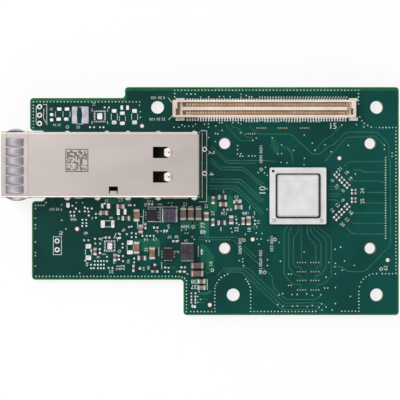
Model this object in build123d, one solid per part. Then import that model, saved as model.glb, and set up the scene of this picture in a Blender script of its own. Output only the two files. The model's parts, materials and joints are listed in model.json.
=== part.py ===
from build123d import *
from math import sqrt
import os

# Network mezzanine card with one pluggable-module port.
# Millimetres. The origin is midway between the two rear mounting holes, in the plane of the
# board's underside. +X points from the port to the rear edge, +Y to the mezzanine connector
# and +Z up from the component side.

# Circuit board
BOARD_LENGTH = 110.0
BOARD_WIDTH = 68.0
BOARD_THICKNESS = 1.6
OUTER_CORNER_RADIUS = 1.0

# Mounting holes, and the margins from their centres to the board's edges
MOUNTING_HOLE_DIAMETER = 3.8
REAR_MARGIN = 6.6
SIDE_MARGIN = 6.0
UPPER_HOLE_SPACING = 65.4
LOWER_HOLE_SPACING = 42.8

# Stepped outline: the upper part at full width and the lower leg, measured from the rear edge
FULL_WIDTH_LENGTH = 81.7
UPPER_TAB_STEP = 3.25
LEG_LENGTH = 64.25
LOWER_TAB_STEP = 10.55
LOWER_TAB_SETBACK = 0.55

# Routed recess under the nose of the cage, reaching a gap behind the spring collar
RECESS_REAR_GAP = 3.9
RECESS_SIDE_GAP = 0.9
RECESS_CHAMFER = 0.9

# Heat-sink hole pattern, centred on the processor
SINK_SPACING_X = 43.4
SINK_SPACING_Y = 31.3
SINK_HOLE_DIAMETER = 3.2
PROCESSOR_X = -23.65
PROCESSOR_Y = 1.55

# Plated holes that hold nothing, measured from the board's corner nearest to them
PLATED_HOLE_DIAMETER = 0.9
PORT_LAMP_HOLES = 3
PORT_LAMP_PITCH = 2.5
PORT_LAMP_FRONT_MARGIN = 2.8
PORT_LAMP_SIDE_MARGIN = 5.1
LINK_HOLE_PITCH = 2.6
LINK_HOLE_FRONT_MARGIN = 7.5
LINK_HOLE_SIDE_MARGIN = 8.95
GUARD_HOLE_DIAMETER = 0.9
GUARD_HOLE_SPACING = 7.2
GUARD_HOLE_GAP = 1.35
GUARD_HOLE_SHIFT = 1.25
SMALL_HOLE_FACETS = 8
OVERCUT = 1.0
SAME_PLACE = 0.01

# Port cage, folded from spring sheet
CAGE_SHEET = 0.25
CAGE_LENGTH = 57.8
CAGE_WIDTH = 19.1
CAGE_HEIGHT = 9.7
CAGE_TO_PROCESSOR = 29.05
CAGE_CENTRE_Y = 10.6
CAGE_BEND_RADIUS = 0.75
RELIEF_HOLE_DIAMETER = 0.6
RELIEF_HOLE_REAR_INSET = 0.5
RELIEF_HOLE_SIDE_INSET = 0.38
CORNER_SLIT = 0.3

# Lanced windows in the cage's top
TOP_WINDOW_LENGTH = 2.9
TOP_WINDOW_WIDTH = 3.3
TOP_WINDOW_OFFSET_Y = 3.55
TOP_WINDOW_REAR_MARGIN = 10.8
TONGUE_LENGTH = 1.35
TONGUE_SLIT = 0.4
TONGUE_ANGLE = 18.0
SMALL_WINDOW_LENGTH = 2.6
SMALL_WINDOW_WIDTH = 1.3
SMALL_WINDOW_REAR_MARGIN = 25.2
SMALL_WINDOW_SIDE_MARGIN = 2.55
SMALL_TONGUE_LENGTH = 0.72
SMALL_TONGUE_SLIT = 0.3

# Press-fit pins: distances of their centres from the cage's rear face
PIN_WIDTH = 0.9
PIN_NECK_WIDTH = 0.6
PIN_TIP_WIDTH = 0.35
PIN_PROTRUSION = 0.9
PIN_HOLE_CLEARANCE = 0.08
LOWER_PIN_DISTANCES = (1.7, 12.5, 21.5, 30.6, 39.6)
UPPER_PIN_DISTANCES = (1.7, 12.5, 21.5, 27.8, 39.6)
PIN_NOTCH_CLEARANCE = 0.1

# Base lugs outside the cage's walls: (distance from the rear face, length along X)
LUG_HEIGHT = 3.2
LOWER_LUGS = ((7.3, 7.6), (15.7, 2.0), (23.6, 1.9), (35.9, 2.4))
UPPER_LUGS = ((15.7, 2.0), (31.2, 2.0), (35.9, 2.4))
BARB_LENGTH = 1.0
BARB_HEIGHT = 0.8
BARB_DEPTH = 0.45
BARB_LEVEL = 2.0
BARB_WINDOW_CLEARANCE = 0.15
BASE_WALL_GAP = 0.02

# Grounding spring collar
COLLAR_SHEET = 0.15
COLLAR_LENGTH = 7.8
COLLAR_FRONT_BAND = 1.5
COLLAR_REAR_BAND = 1.4
FINGER_WIDTH = 2.15
FINGER_PITCH = 2.75
FINGER_BOW = 0.85
FINGER_SPANS = 4
FINGER_SIDE_MARGIN = 0.8

# Host connector inside the cage
HOST_DEPTH = 9.4
HOST_SIDE_GAP = 0.7
HOST_HEIGHT = 6.4
HOST_NOSE_DEPTH = 4.6
HOST_NOSE_HEIGHT = 5.4
HOST_REAR_GAP = 2.6
HOST_WINDOW_CLEARANCE = 0.3
CARD_SLOT_HEIGHT = 1.2
CARD_SLOT_SIDE_WALL = 0.7
CARD_SLOT_DEPTH = 6.2
CARD_SLOT_LEVEL = 3.0
HOST_FIELD_MARGIN = 0.5
HOST_PITCH = 0.8
HOST_CONTACT_WIDTH = 0.3
HOST_CONTACT_SHEET = 0.25
HOST_TAIL_SPREAD = 1.0
HOST_CHANNEL_CLEARANCE = 0.05

# Mezzanine connector
MEZZ_CENTRE_X = -32.9
MEZZ_CENTRE_Y = 27.35
MEZZ_PITCH = 0.8
MEZZ_CONTACTS_PER_ROW = 60
MEZZ_BODY_WIDTH = 5.0
MEZZ_BODY_HEIGHT = 4.2
MEZZ_FRONT_OVERHANG = 4.3
MEZZ_REAR_OVERHANG = 2.65
MEZZ_RAIL = 0.58
MEZZ_FRONT_WALL = 2.1
MEZZ_REAR_WALL = 1.3
MEZZ_STANDOFF = 0.6
MEZZ_FLOOR = 0.5
MEZZ_SHELF_LENGTH = 0.9
MEZZ_SHELF_DROP = 1.5
MEZZ_TONGUE_WIDTH = 1.0
MEZZ_TONGUE_DROP = 0.15
MEZZ_TONGUE_FRONT_GAP = 0.5
MEZZ_TONGUE_REAR_GAP = 1.2
MEZZ_FRONT_KEY_LENGTH = 1.2
MEZZ_FRONT_NOTCH_LENGTH = 0.7
MEZZ_REAR_KEY_LENGTH = 0.55
MEZZ_CORNER_BEVEL = 0.15
MEZZ_FOOT_GAP = 0.2
MEZZ_BLADE_CLEARANCE = 0.06
BLADE_SHEET = 0.2
BLADE_WIDTH = 0.35
BLADE_TIP_DROP = 0.5
BLADE_LIFT = 0.3
FOOT_REACH = 0.8
FOOT_LENGTH = 0.8
FOOT_THICKNESS = 0.18

# Hold-down clips at the mezzanine connector's corners
CLIP_LENGTH = 2.45
CLIP_SHEET = 0.25
CLIP_FOOT = 0.75
CLIP_HEIGHT = 1.9
CLIP_FRONT_INSET = 0.95
CLIP_REAR_PROUD = 0.9

# Processor package
SUBSTRATE_SIDE = 17.0
SUBSTRATE_THICKNESS = 0.8
LID_SIDE = 16.8
LID_BRIM = 0.9
LID_RAISED_SIDE = 13.4
LID_RAISED_HEIGHT = 0.55
LID_GROOVE_WIDTH = 0.4
LID_GROOVE_DEPTH = 0.3
LID_GROOVE_INSET = 0.5
LID_CORNER_RADIUS = 0.5
LID_RAISED_BEVEL = 0.35
BALL_HEIGHT = 0.45
BALL_DIAMETER = 0.6
BALL_PITCH = 1.27
BALLS_PER_SIDE = 13

# Power inductors, placed from the cage's rear lower corner as all parts of the power stage are
LEFT_CORE_LENGTH = 3.7
LEFT_CORE_WIDTH = 4.1
LEFT_CORE_HEIGHT = 2.0
LOWER_CORE_LENGTH = 4.9
LOWER_CORE_WIDTH = 4.1
LOWER_CORE_HEIGHT = 2.4
LEFT_CORE_PLACE = (-9.1, -5.25, 0)
LOWER_CORE_PLACE = (-3.8, -16.25, 90)
CORE_EDGE_BEVEL = 0.35
CORE_TOP_BEVEL = 0.2
CORE_TERMINAL_THICKNESS = 0.2
CORE_TERMINAL_LENGTH = 0.9
CORE_TERMINAL_MARGIN = 0.35

# Leadless regulators
REGULATOR_SIDE = 3.5
REGULATOR_THICKNESS = 0.85
REGULATOR_LANDS_PER_SIDE = 3
REGULATOR_LAND_PITCH = 0.85
REGULATOR_LAND_WIDTH = 0.35
REGULATOR_LAND_LENGTH = 0.5
REGULATOR_LAND_THICKNESS = 0.12
REGULATOR_LAND_SHOW = 0.08
LEFT_REGULATOR_PLACE = (-14.3, -5.25, 0)
LOWER_REGULATOR_PLACE = (-9.5, -16.9, 0)

# Small three-lead transistors
TRANSISTOR_LENGTH = 2.0
TRANSISTOR_WIDTH = 1.25
TRANSISTOR_HEIGHT = 0.85
TRANSISTOR_STANDOFF = 0.1
TRANSISTOR_LEAD_WIDTH = 0.3
TRANSISTOR_LEAD_SHEET = 0.14
TRANSISTOR_LEAD_REACH = 0.45
TRANSISTOR_LEAD_LEVEL = 0.42
TRANSISTOR_LEAD_SPACING = 1.3
TRANSISTOR_PLACES = ((-18.9, -21.1, 90), (-13.5, -21.05, 180))

# Two-terminal chip parts: length, width and height of the body with its end caps
LARGE_CHIP_LENGTH = 3.3
LARGE_CHIP_WIDTH = 1.65
LARGE_CHIP_HEIGHT = 1.6
TAN_CHIP_LENGTH = 3.2
TAN_CHIP_WIDTH = 1.6
TAN_CHIP_HEIGHT = 1.2
MEDIUM_CHIP_LENGTH = 2.0
MEDIUM_CHIP_WIDTH = 1.25
MEDIUM_CHIP_HEIGHT = 0.9
MEDIUM_RESISTOR_LENGTH = 2.0
MEDIUM_RESISTOR_WIDTH = 1.25
MEDIUM_RESISTOR_HEIGHT = 0.5
SMALL_CHIP_LENGTH = 1.6
SMALL_CHIP_WIDTH = 0.85
SMALL_CHIP_HEIGHT = 0.8
TINY_CHIP_LENGTH = 1.0
TINY_CHIP_WIDTH = 0.5
TINY_CHIP_HEIGHT = 0.4
LARGE_END_CAP = 0.45
MEDIUM_END_CAP = 0.4
SMALL_END_CAP = 0.32
TINY_END_CAP = 0.25
END_CAP_PROUD = 0.03
RESISTOR_FACE_THICKNESS = 0.05

# Places of the chip parts from the cage's rear lower corner: x, y and the turn of their long
# axis in degrees
LARGE_CAPACITORS = (
    (-5, -4.85, 90), (-2.75, -4.85, 90), (-0.45, -4.85, 90),
    (-0.8, -20.25, 0), (-0.8, -22.6, 0),
)
TAN_CAPACITORS = (
    (-18.95, -5.25, 90), (-18.9, -14.95, 90), (-14.25, -16.55, 90),
)
MEDIUM_CAPACITORS = (
    (-23.7, -2.65, 0), (-28.7, -4.55, 0), (6.9, -2, 0), (11.5, -2.85, 0),
    (0.4, -25, 0), (0.45, -26.85, 0),
    (-17.7, -9.35, 90), (1.9, -5.55, 90), (9.3, -6.65, 90), (14.5, -6.85, 90),
)
MEDIUM_RESISTORS = (
    (-22.1, -6.15, 0), (6.65, 0.1, 0), (6.45, -7.5, 0), (-17.35, -18.05, 0),
)
SMALL_CAPACITORS = (
    (-31.3, -16.05, 90), (-25.4, -17.85, 90), (3.9, -0.75, 90),
    (3.85, -7.35, 90), (12.85, -7, 90), (10.95, -1.25, 0),
)
TINY_PARTS = (
    (-27.55, -11.9, 0), (-13.2, -8.95, 0), (-14.8, -2, 0), (-7.5, -13.05, 0),
    (-5, -20.8, 0), (-5.35, -22.05, 0),
    (-23.9, -11.45, 90), (-29.9, -15.95, 90), (-24.25, -17.9, 90), (-16.3, -8.5, 90),
)

# Coupling capacitors: one pair for each lane, in a fan round the processor's centre
COUPLING_PAIRS = (
    (11.7, 6.35, 45), (13.25, 4.75, 45), (14.8, 3.2, 45),
    (16.8, 1.25, 0), (16.8, -1.25, 0),
    (14.8, -3.2, -45), (13.2, -4.8, -45), (11.65, -6.4, -45),
)
COUPLING_PAIR_SPACING = 1.0

# Bypass capacitors on the underside, in two columns behind the processor
BYPASS_COLUMNS = 2
BYPASS_ROWS = 3
BYPASS_COLUMN_SPACING = 5.0
BYPASS_ROW_SPACING = 4.0

# Levels and edges that follow from the sizes above
BOARD_TOP = BOARD_THICKNESS
REAR_EDGE = REAR_MARGIN
FRONT_EDGE = REAR_EDGE - BOARD_LENGTH
UPPER_EDGE = BOARD_WIDTH / 2
LOWER_EDGE = -BOARD_WIDTH / 2
HOLE_Y = BOARD_WIDTH / 2 - SIDE_MARGIN
CAGE_REAR = PROCESSOR_X - CAGE_TO_PROCESSOR
CAGE_FRONT = CAGE_REAR - CAGE_LENGTH
CAGE_LOW_Y = CAGE_CENTRE_Y - CAGE_WIDTH / 2
CAGE_HIGH_Y = CAGE_CENTRE_Y + CAGE_WIDTH / 2
CAGE_TOP = BOARD_TOP + CAGE_HEIGHT
FLOOR_TOP = BOARD_TOP + CAGE_SHEET
HOST_REAR = CAGE_REAR - CAGE_SHEET - HOST_REAR_GAP
HOST_FRONT = HOST_REAR - HOST_DEPTH
HOST_WIDTH = CAGE_WIDTH - 2 * CAGE_SHEET - 2 * HOST_SIDE_GAP
CARD_SLOT_WIDTH = HOST_WIDTH - 2 * CARD_SLOT_SIDE_WALL
LEFT_CORE = (LEFT_CORE_LENGTH, LEFT_CORE_WIDTH, LEFT_CORE_HEIGHT)
LOWER_CORE = (LOWER_CORE_LENGTH, LOWER_CORE_WIDTH, LOWER_CORE_HEIGHT)
LARGE_CHIP = (LARGE_CHIP_LENGTH, LARGE_CHIP_WIDTH, LARGE_CHIP_HEIGHT)
TAN_CHIP = (TAN_CHIP_LENGTH, TAN_CHIP_WIDTH, TAN_CHIP_HEIGHT)
MEDIUM_CHIP = (MEDIUM_CHIP_LENGTH, MEDIUM_CHIP_WIDTH, MEDIUM_CHIP_HEIGHT)
MEDIUM_RESISTOR = (MEDIUM_RESISTOR_LENGTH, MEDIUM_RESISTOR_WIDTH, MEDIUM_RESISTOR_HEIGHT)
SMALL_CHIP = (SMALL_CHIP_LENGTH, SMALL_CHIP_WIDTH, SMALL_CHIP_HEIGHT)
TINY_CHIP = (TINY_CHIP_LENGTH, TINY_CHIP_WIDTH, TINY_CHIP_HEIGHT)


def block(x_range, y_range, z_range):
    """A plain rectangular solid between two corners."""
    size = [high - low for low, high in (x_range, y_range, z_range)]
    centre = [(high + low) / 2 for low, high in (x_range, y_range, z_range)]
    return Pos(*centre) * Box(*size)


def around(middle, length):
    """The pair of ends of a length centred on a middle."""
    return (middle - length / 2, middle + length / 2)


def drill(diameter, x, y, z_range):
    """A round cutter along Z."""
    low, high = z_range
    return Pos(x, y, (low + high) / 2) * Cylinder(diameter / 2, high - low)


def punch(diameter, x, y, z_range):
    """A cutter along Z for a small hole, with flat facets round it."""
    low, high = z_range
    section = RegularPolygon(diameter / 2, SMALL_HOLE_FACETS, major_radius=False)
    return Pos(x, y, low) * extrude(section, high - low)


def side_profile(points, y_range):
    """A solid whose outline in the XZ plane is swept along Y."""
    face = make_face(Polyline(*[(x, 0, z) for x, z in points], close=True))
    low, high = y_range
    return extrude(Pos(0, low, 0) * face, high - low, dir=(0, 1, 0))


def end_profile(points, x_range):
    """A solid whose outline in the YZ plane is swept along X."""
    face = make_face(Polyline(*[(0, y, z) for y, z in points], close=True))
    low, high = x_range
    return extrude(Pos(low, 0, 0) * face, high - low, dir=(1, 0, 0))


def fitting(room, size, pitch):
    """How many equally spaced things of one size fit in a room."""
    return int((room - size) / pitch) + 1


def row(count, pitch):
    """Offsets of a row of equally spaced places, centred on zero."""
    first = -(count - 1) * pitch / 2
    return [first + index * pitch for index in range(count)]


# Places that several pieces share
def pin_places():
    """Centres of the cage's press-fit pins, in the planes of its two side walls."""
    wall_half = CAGE_SHEET / 2
    lower = [(CAGE_REAR - step, CAGE_LOW_Y + wall_half) for step in LOWER_PIN_DISTANCES]
    upper = [(CAGE_REAR - step, CAGE_HIGH_Y - wall_half) for step in UPPER_PIN_DISTANCES]
    return lower + upper


def mounting_hole_places():
    """Centres of the four card mounting holes. The rear pair stands on the Y axis."""
    return [
        (0, HOLE_Y), (0, -HOLE_Y),
        (-UPPER_HOLE_SPACING, HOLE_Y), (-LOWER_HOLE_SPACING, -HOLE_Y),
    ]


def lug_places():
    """Each base lug: the X range of the lug and the side of the cage, -1 or +1."""
    lower = [(around(CAGE_REAR - step, length), -1) for step, length in LOWER_LUGS]
    upper = [(around(CAGE_REAR - step, length), 1) for step, length in UPPER_LUGS]
    return lower + upper


def circuit_board():
    """The stepped board with its recess under the cage's nose and all its holes."""
    step_x = REAR_EDGE - FULL_WIDTH_LENGTH
    tab_y = UPPER_EDGE - UPPER_TAB_STEP
    lower_front = FRONT_EDGE + LOWER_TAB_SETBACK
    leg_x = REAR_EDGE - LEG_LENGTH
    lower_tab_y = LOWER_EDGE + LOWER_TAB_STEP
    recess_x = CAGE_FRONT + COLLAR_LENGTH + RECESS_REAR_GAP
    recess_low = CAGE_LOW_Y - RECESS_SIDE_GAP - COLLAR_SHEET
    recess_high = CAGE_HIGH_Y + RECESS_SIDE_GAP
    mouth_x = CAGE_FRONT - BOARD_LENGTH
    outline = make_face(Polyline(
        (FRONT_EDGE, CAGE_CENTRE_Y), (FRONT_EDGE, tab_y), (step_x, tab_y), (step_x, UPPER_EDGE),
        (REAR_EDGE, UPPER_EDGE), (REAR_EDGE, LOWER_EDGE), (leg_x, LOWER_EDGE),
        (leg_x, lower_tab_y), (lower_front, lower_tab_y), (lower_front, CAGE_CENTRE_Y), close=True,
    ))
    outline -= make_face(Polyline(
        (mouth_x, recess_low), (recess_x - RECESS_CHAMFER, recess_low),
        (recess_x, recess_low + RECESS_CHAMFER), (recess_x, recess_high - RECESS_CHAMFER),
        (recess_x - RECESS_CHAMFER, recess_high), (mouth_x, recess_high), close=True,
    ))
    # The corners are rounded, apart from those inside the recess
    rounded = [
        corner for corner in outline.vertices()
        if not recess_low + SAME_PLACE < corner.Y < recess_high - SAME_PLACE
        and not (
            corner.X > lower_front + SAME_PLACE
            and recess_low - SAME_PLACE < corner.Y < recess_high + SAME_PLACE
        )
    ]
    outline = fillet(rounded, OUTER_CORNER_RADIUS)
    board = extrude(outline, BOARD_THICKNESS)

    through = (-OVERCUT, BOARD_THICKNESS + OVERCUT)
    for x, y in mounting_hole_places():
        board -= drill(MOUNTING_HOLE_DIAMETER, x, y, through)
    for dx in row(2, SINK_SPACING_X):
        for dy in row(2, SINK_SPACING_Y):
            board -= drill(SINK_HOLE_DIAMETER, PROCESSOR_X + dx, PROCESSOR_Y + dy, through)
    for x, y in pin_places():
        board -= punch(PIN_WIDTH + 2 * PIN_HOLE_CLEARANCE, x, y, through)

    lamp_x = FRONT_EDGE + PORT_LAMP_FRONT_MARGIN
    lamp_y = tab_y - PORT_LAMP_SIDE_MARGIN
    for dy in row(PORT_LAMP_HOLES, PORT_LAMP_PITCH):
        board -= punch(PLATED_HOLE_DIAMETER, lamp_x, lamp_y + dy, through)
    link_x = lower_front + LINK_HOLE_FRONT_MARGIN
    link_y = lower_tab_y + LINK_HOLE_SIDE_MARGIN
    for dy in (0, LINK_HOLE_PITCH):
        board -= punch(PLATED_HOLE_DIAMETER, link_x, link_y + dy, through)
    for dy in row(2, GUARD_HOLE_SPACING):
        guard_y = CAGE_CENTRE_Y + GUARD_HOLE_SHIFT + dy
        board -= punch(GUARD_HOLE_DIAMETER, CAGE_REAR + GUARD_HOLE_GAP, guard_y, through)
    return board


def press_fit_pin(x, y_range):
    """A flat compliant pin: narrow neck, swollen middle and a blunt tip."""
    swell = BOARD_TOP / 2
    half, neck_half, tip_half = PIN_WIDTH / 2, PIN_NECK_WIDTH / 2, PIN_TIP_WIDTH / 2
    left = [(x - neck_half, FLOOR_TOP), (x - half, swell), (x - tip_half, -PIN_PROTRUSION)]
    right = [(x + tip_half, -PIN_PROTRUSION), (x + half, swell), (x + neck_half, FLOOR_TOP)]
    return side_profile(left + right, y_range)


def cage_cover():
    """Top, side walls and rear wall folded from one sheet, open in front and below."""
    x_range = (CAGE_FRONT, CAGE_REAR)
    y_range = (CAGE_LOW_Y, CAGE_HIGH_Y)
    outer = block(x_range, y_range, (FLOOR_TOP, CAGE_TOP))
    top_edges = outer.edges().group_by(Axis.Z)[-1]
    outer = fillet(top_edges.filter_by(Axis.X) + [top_edges.sort_by(Axis.X)[-1]], CAGE_BEND_RADIUS)
    inner = block(
        (CAGE_FRONT - CAGE_LENGTH, CAGE_REAR - CAGE_SHEET),
        (CAGE_LOW_Y + CAGE_SHEET, CAGE_HIGH_Y - CAGE_SHEET),
        (FLOOR_TOP - CAGE_HEIGHT, CAGE_TOP - CAGE_SHEET),
    )
    inner_top = inner.edges().group_by(Axis.Z)[-1]
    inner = fillet(
        inner_top.filter_by(Axis.X) + [inner_top.sort_by(Axis.X)[-1]],
        CAGE_BEND_RADIUS - CAGE_SHEET,
    )
    cover = outer - inner

    # The rear wall reaches the board behind the floor's end and is slit free of the side walls
    cover += block(
        (CAGE_REAR - CAGE_SHEET, CAGE_REAR), (CAGE_LOW_Y, CAGE_HIGH_Y), (BOARD_TOP, FLOOR_TOP),
    )
    for side_y in (CAGE_LOW_Y + CAGE_SHEET, CAGE_HIGH_Y - CAGE_SHEET):
        slit_y = (side_y, side_y + CORNER_SLIT)
        if side_y > CAGE_CENTRE_Y:
            slit_y = (side_y - CORNER_SLIT, side_y)
        cover -= block(
            (CAGE_REAR - 2 * CAGE_SHEET, CAGE_REAR + OVERCUT), slit_y,
            (BOARD_TOP - OVERCUT, CAGE_TOP - CAGE_BEND_RADIUS),
        )
    hole_x = CAGE_REAR - RELIEF_HOLE_REAR_INSET
    hole_z = (CAGE_TOP - CAGE_BEND_RADIUS, CAGE_TOP + OVERCUT)
    for hole_y in (CAGE_LOW_Y + RELIEF_HOLE_SIDE_INSET, CAGE_HIGH_Y - RELIEF_HOLE_SIDE_INSET):
        cover -= punch(RELIEF_HOLE_DIAMETER, hole_x, hole_y, hole_z)

    # Two lanced windows side by side, each with a tongue bent into the cage
    z_cut = (CAGE_TOP - CAGE_BEND_RADIUS, CAGE_TOP + OVERCUT)
    window_end = CAGE_REAR - TOP_WINDOW_REAR_MARGIN
    root_x = window_end + TONGUE_LENGTH
    for dy in row(2, 2 * TOP_WINDOW_OFFSET_Y):
        window_y = around(CAGE_CENTRE_Y + dy, TOP_WINDOW_WIDTH)
        tongue_y = around(CAGE_CENTRE_Y + dy, TOP_WINDOW_WIDTH - 2 * TONGUE_SLIT)
        cover -= block((window_end - TOP_WINDOW_LENGTH, root_x), window_y, z_cut)
        tongue = block((window_end, root_x), tongue_y, (CAGE_TOP - CAGE_SHEET, CAGE_TOP))
        cover += tongue.rotate(Axis((root_x, 0, CAGE_TOP), (0, 1, 0)), -TONGUE_ANGLE)

    # One small window near the side wall, whose tongue stays flat
    small_x = around(CAGE_REAR - SMALL_WINDOW_REAR_MARGIN, SMALL_WINDOW_LENGTH)
    small_low = CAGE_LOW_Y + SMALL_WINDOW_SIDE_MARGIN - SMALL_WINDOW_WIDTH / 2
    cover -= block(small_x, (small_low, small_low + SMALL_WINDOW_WIDTH), z_cut)
    for slit_x in (small_x[0], small_x[1] - SMALL_TONGUE_SLIT):
        cover -= block(
            (slit_x, slit_x + SMALL_TONGUE_SLIT), (small_low - SMALL_TONGUE_LENGTH, small_low), z_cut,
        )

    # Wedge-shaped barbs that snap into the windows of the base's lugs
    for (low_x, high_x), side in lug_places():
        wall_y = CAGE_HIGH_Y if side > 0 else CAGE_LOW_Y
        level = FLOOR_TOP + BARB_LEVEL
        wedge = [
            (wall_y - side * CAGE_SHEET / 2, level), (wall_y + side * (BARB_DEPTH - CAGE_SHEET / 2), level),
            (wall_y - side * CAGE_SHEET / 2, level - BARB_HEIGHT),
        ]
        cover += end_profile(wedge, around((low_x + high_x) / 2, BARB_LENGTH))

    for x, y in pin_places():
        cover += press_fit_pin(x, around(y, CAGE_SHEET))
    return cover


def cage_base():
    """Floor on the board with upright lugs outside the cover's side walls."""
    floor = block(
        (CAGE_FRONT, CAGE_REAR - CAGE_SHEET - BASE_WALL_GAP),
        (CAGE_LOW_Y, CAGE_HIGH_Y), (BOARD_TOP, FLOOR_TOP),
    )
    floor -= block(
        (HOST_FRONT - HOST_WINDOW_CLEARANCE, CAGE_REAR),
        around(CAGE_CENTRE_Y, HOST_WIDTH + 2 * HOST_WINDOW_CLEARANCE),
        (BOARD_TOP - OVERCUT, FLOOR_TOP + OVERCUT),
    )
    for x, y in pin_places():
        outward = 1 if y > CAGE_CENTRE_Y else -1
        notch_depth = CAGE_SHEET + PIN_NOTCH_CLEARANCE
        edge_y = CAGE_HIGH_Y if outward > 0 else CAGE_LOW_Y
        notch_y = sorted((edge_y + outward * OVERCUT, edge_y - outward * notch_depth))
        floor -= block(
            around(x, PIN_WIDTH + 2 * PIN_NOTCH_CLEARANCE), notch_y,
            (BOARD_TOP - OVERCUT, FLOOR_TOP + OVERCUT),
        )

    # Each lug leaves the floor's edge, turns up along the wall and holds one barb
    base = floor
    for (low_x, high_x), side in lug_places():
        wall_y = CAGE_HIGH_Y if side > 0 else CAGE_LOW_Y
        inner_y = wall_y + side * BASE_WALL_GAP
        outer_y = inner_y + side * CAGE_SHEET
        strip = [
            (wall_y - side * CAGE_SHEET, BOARD_TOP), (outer_y, BOARD_TOP),
            (outer_y, FLOOR_TOP + LUG_HEIGHT), (inner_y, FLOOR_TOP + LUG_HEIGHT),
            (inner_y, FLOOR_TOP), (wall_y - side * CAGE_SHEET, FLOOR_TOP),
        ]
        lug = end_profile(strip, (low_x, high_x))
        level = FLOOR_TOP + BARB_LEVEL
        lug -= block(
            around((low_x + high_x) / 2, BARB_LENGTH + 2 * BARB_WINDOW_CLEARANCE),
            around(wall_y, 4 * CAGE_SHEET),
            (level - BARB_HEIGHT - BARB_WINDOW_CLEARANCE, level + BARB_WINDOW_CLEARANCE),
        )
        base += lug
    return base


def collar_outline(grow):
    """The cage's section grown on all sides, with flats that lie on its rounded upper bends."""
    section = Rectangle(CAGE_WIDTH + 2 * grow, CAGE_HEIGHT + 2 * grow)
    upper = section.vertices().group_by(Axis.Y)[-1]
    return chamfer(upper, (CAGE_BEND_RADIUS + grow) * (2 - sqrt(2)))


def collar_band(x_range):
    """A closed band round the cage's nose."""
    plane = Plane(
        origin=(x_range[0], CAGE_CENTRE_Y, BOARD_TOP + CAGE_HEIGHT / 2),
        x_dir=(0, 1, 0), z_dir=(1, 0, 0),
    )
    ring = collar_outline(COLLAR_SHEET) - collar_outline(0)
    return extrude(plane * ring, x_range[1] - x_range[0])


def bowed_finger():
    """One finger in flat spans, bowed upwards over the X axis and centred on it in Y."""
    # Each end of the finger runs a little way into its band
    low_x = CAGE_FRONT + COLLAR_FRONT_BAND - COLLAR_SHEET
    high_x = CAGE_FRONT + COLLAR_LENGTH - COLLAR_REAR_BAND + COLLAR_SHEET
    crest = []
    for step in range(FINGER_SPANS + 1):
        along = step / FINGER_SPANS
        rise = FINGER_BOW * (1 - (2 * along - 1) ** 2)
        crest.append((low_x + along * (high_x - low_x), rise))
    upper = [(x, z + COLLAR_SHEET) for x, z in crest]
    return side_profile(crest + upper[::-1], around(0, FINGER_WIDTH))


def emi_spring_collar():
    """Stamped spring collar: two bands joined by bowed fingers on all four sides."""
    rear_x = CAGE_FRONT + COLLAR_LENGTH
    collar = collar_band((CAGE_FRONT, CAGE_FRONT + COLLAR_FRONT_BAND))
    collar += collar_band((rear_x - COLLAR_REAR_BAND, rear_x))
    finger = bowed_finger()
    across = fitting(CAGE_WIDTH - 2 * FINGER_SIDE_MARGIN, FINGER_WIDTH, FINGER_PITCH)
    upright = fitting(CAGE_HEIGHT - 2 * FINGER_SIDE_MARGIN, FINGER_WIDTH, FINGER_PITCH)
    for dy in row(across, FINGER_PITCH):
        collar += Pos(0, CAGE_CENTRE_Y + dy, CAGE_TOP) * finger
        collar += Pos(0, CAGE_CENTRE_Y + dy, BOARD_TOP) * Rot(180, 0, 0) * finger
    middle_z = BOARD_TOP + CAGE_HEIGHT / 2
    for dz in row(upright, FINGER_PITCH):
        collar += Pos(0, CAGE_HIGH_Y, middle_z + dz) * Rot(-90, 0, 0) * finger
        collar += Pos(0, CAGE_LOW_Y, middle_z + dz) * Rot(90, 0, 0) * finger
    return collar


def host_row():
    """Offsets across the card slot of the contacts in one row."""
    room = CARD_SLOT_WIDTH - 2 * HOST_FIELD_MARGIN
    return row(fitting(room, HOST_CONTACT_WIDTH, HOST_PITCH), HOST_PITCH)


def host_levels():
    """Heights of the card slot's lower and upper faces above the board's underside."""
    low = BOARD_TOP + CARD_SLOT_LEVEL - CARD_SLOT_HEIGHT / 2
    return low, low + CARD_SLOT_HEIGHT


def port_connector_housing():
    """Host connector block with a stepped nose and a card slot, seated on the board."""
    nose_x = HOST_FRONT + HOST_NOSE_DEPTH
    body = side_profile(
        [
            (HOST_FRONT, BOARD_TOP), (HOST_REAR, BOARD_TOP), (HOST_REAR, BOARD_TOP + HOST_HEIGHT),
            (nose_x, BOARD_TOP + HOST_HEIGHT), (nose_x, BOARD_TOP + HOST_NOSE_HEIGHT),
            (HOST_FRONT, BOARD_TOP + HOST_NOSE_HEIGHT),
        ],
        around(CAGE_CENTRE_Y, HOST_WIDTH),
    )
    slot_low, slot_high = host_levels()
    body -= block(
        (HOST_FRONT - OVERCUT, HOST_FRONT + CARD_SLOT_DEPTH),
        around(CAGE_CENTRE_Y, CARD_SLOT_WIDTH), (slot_low, slot_high),
    )
    # Thin channels over and under the slot carry the two contact rows out at the back
    channel = HOST_CONTACT_SHEET + HOST_CHANNEL_CLEARANCE
    field = 2 * host_row()[-1] + HOST_CONTACT_WIDTH + 2 * HOST_CHANNEL_CLEARANCE
    channel_x = (HOST_FRONT + HOST_CONTACT_SHEET, HOST_REAR + OVERCUT)
    for z_range in ((slot_high, slot_high + channel), (slot_low - channel, slot_low)):
        body -= block(channel_x, around(CAGE_CENTRE_Y, field), z_range)
    return body


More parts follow.
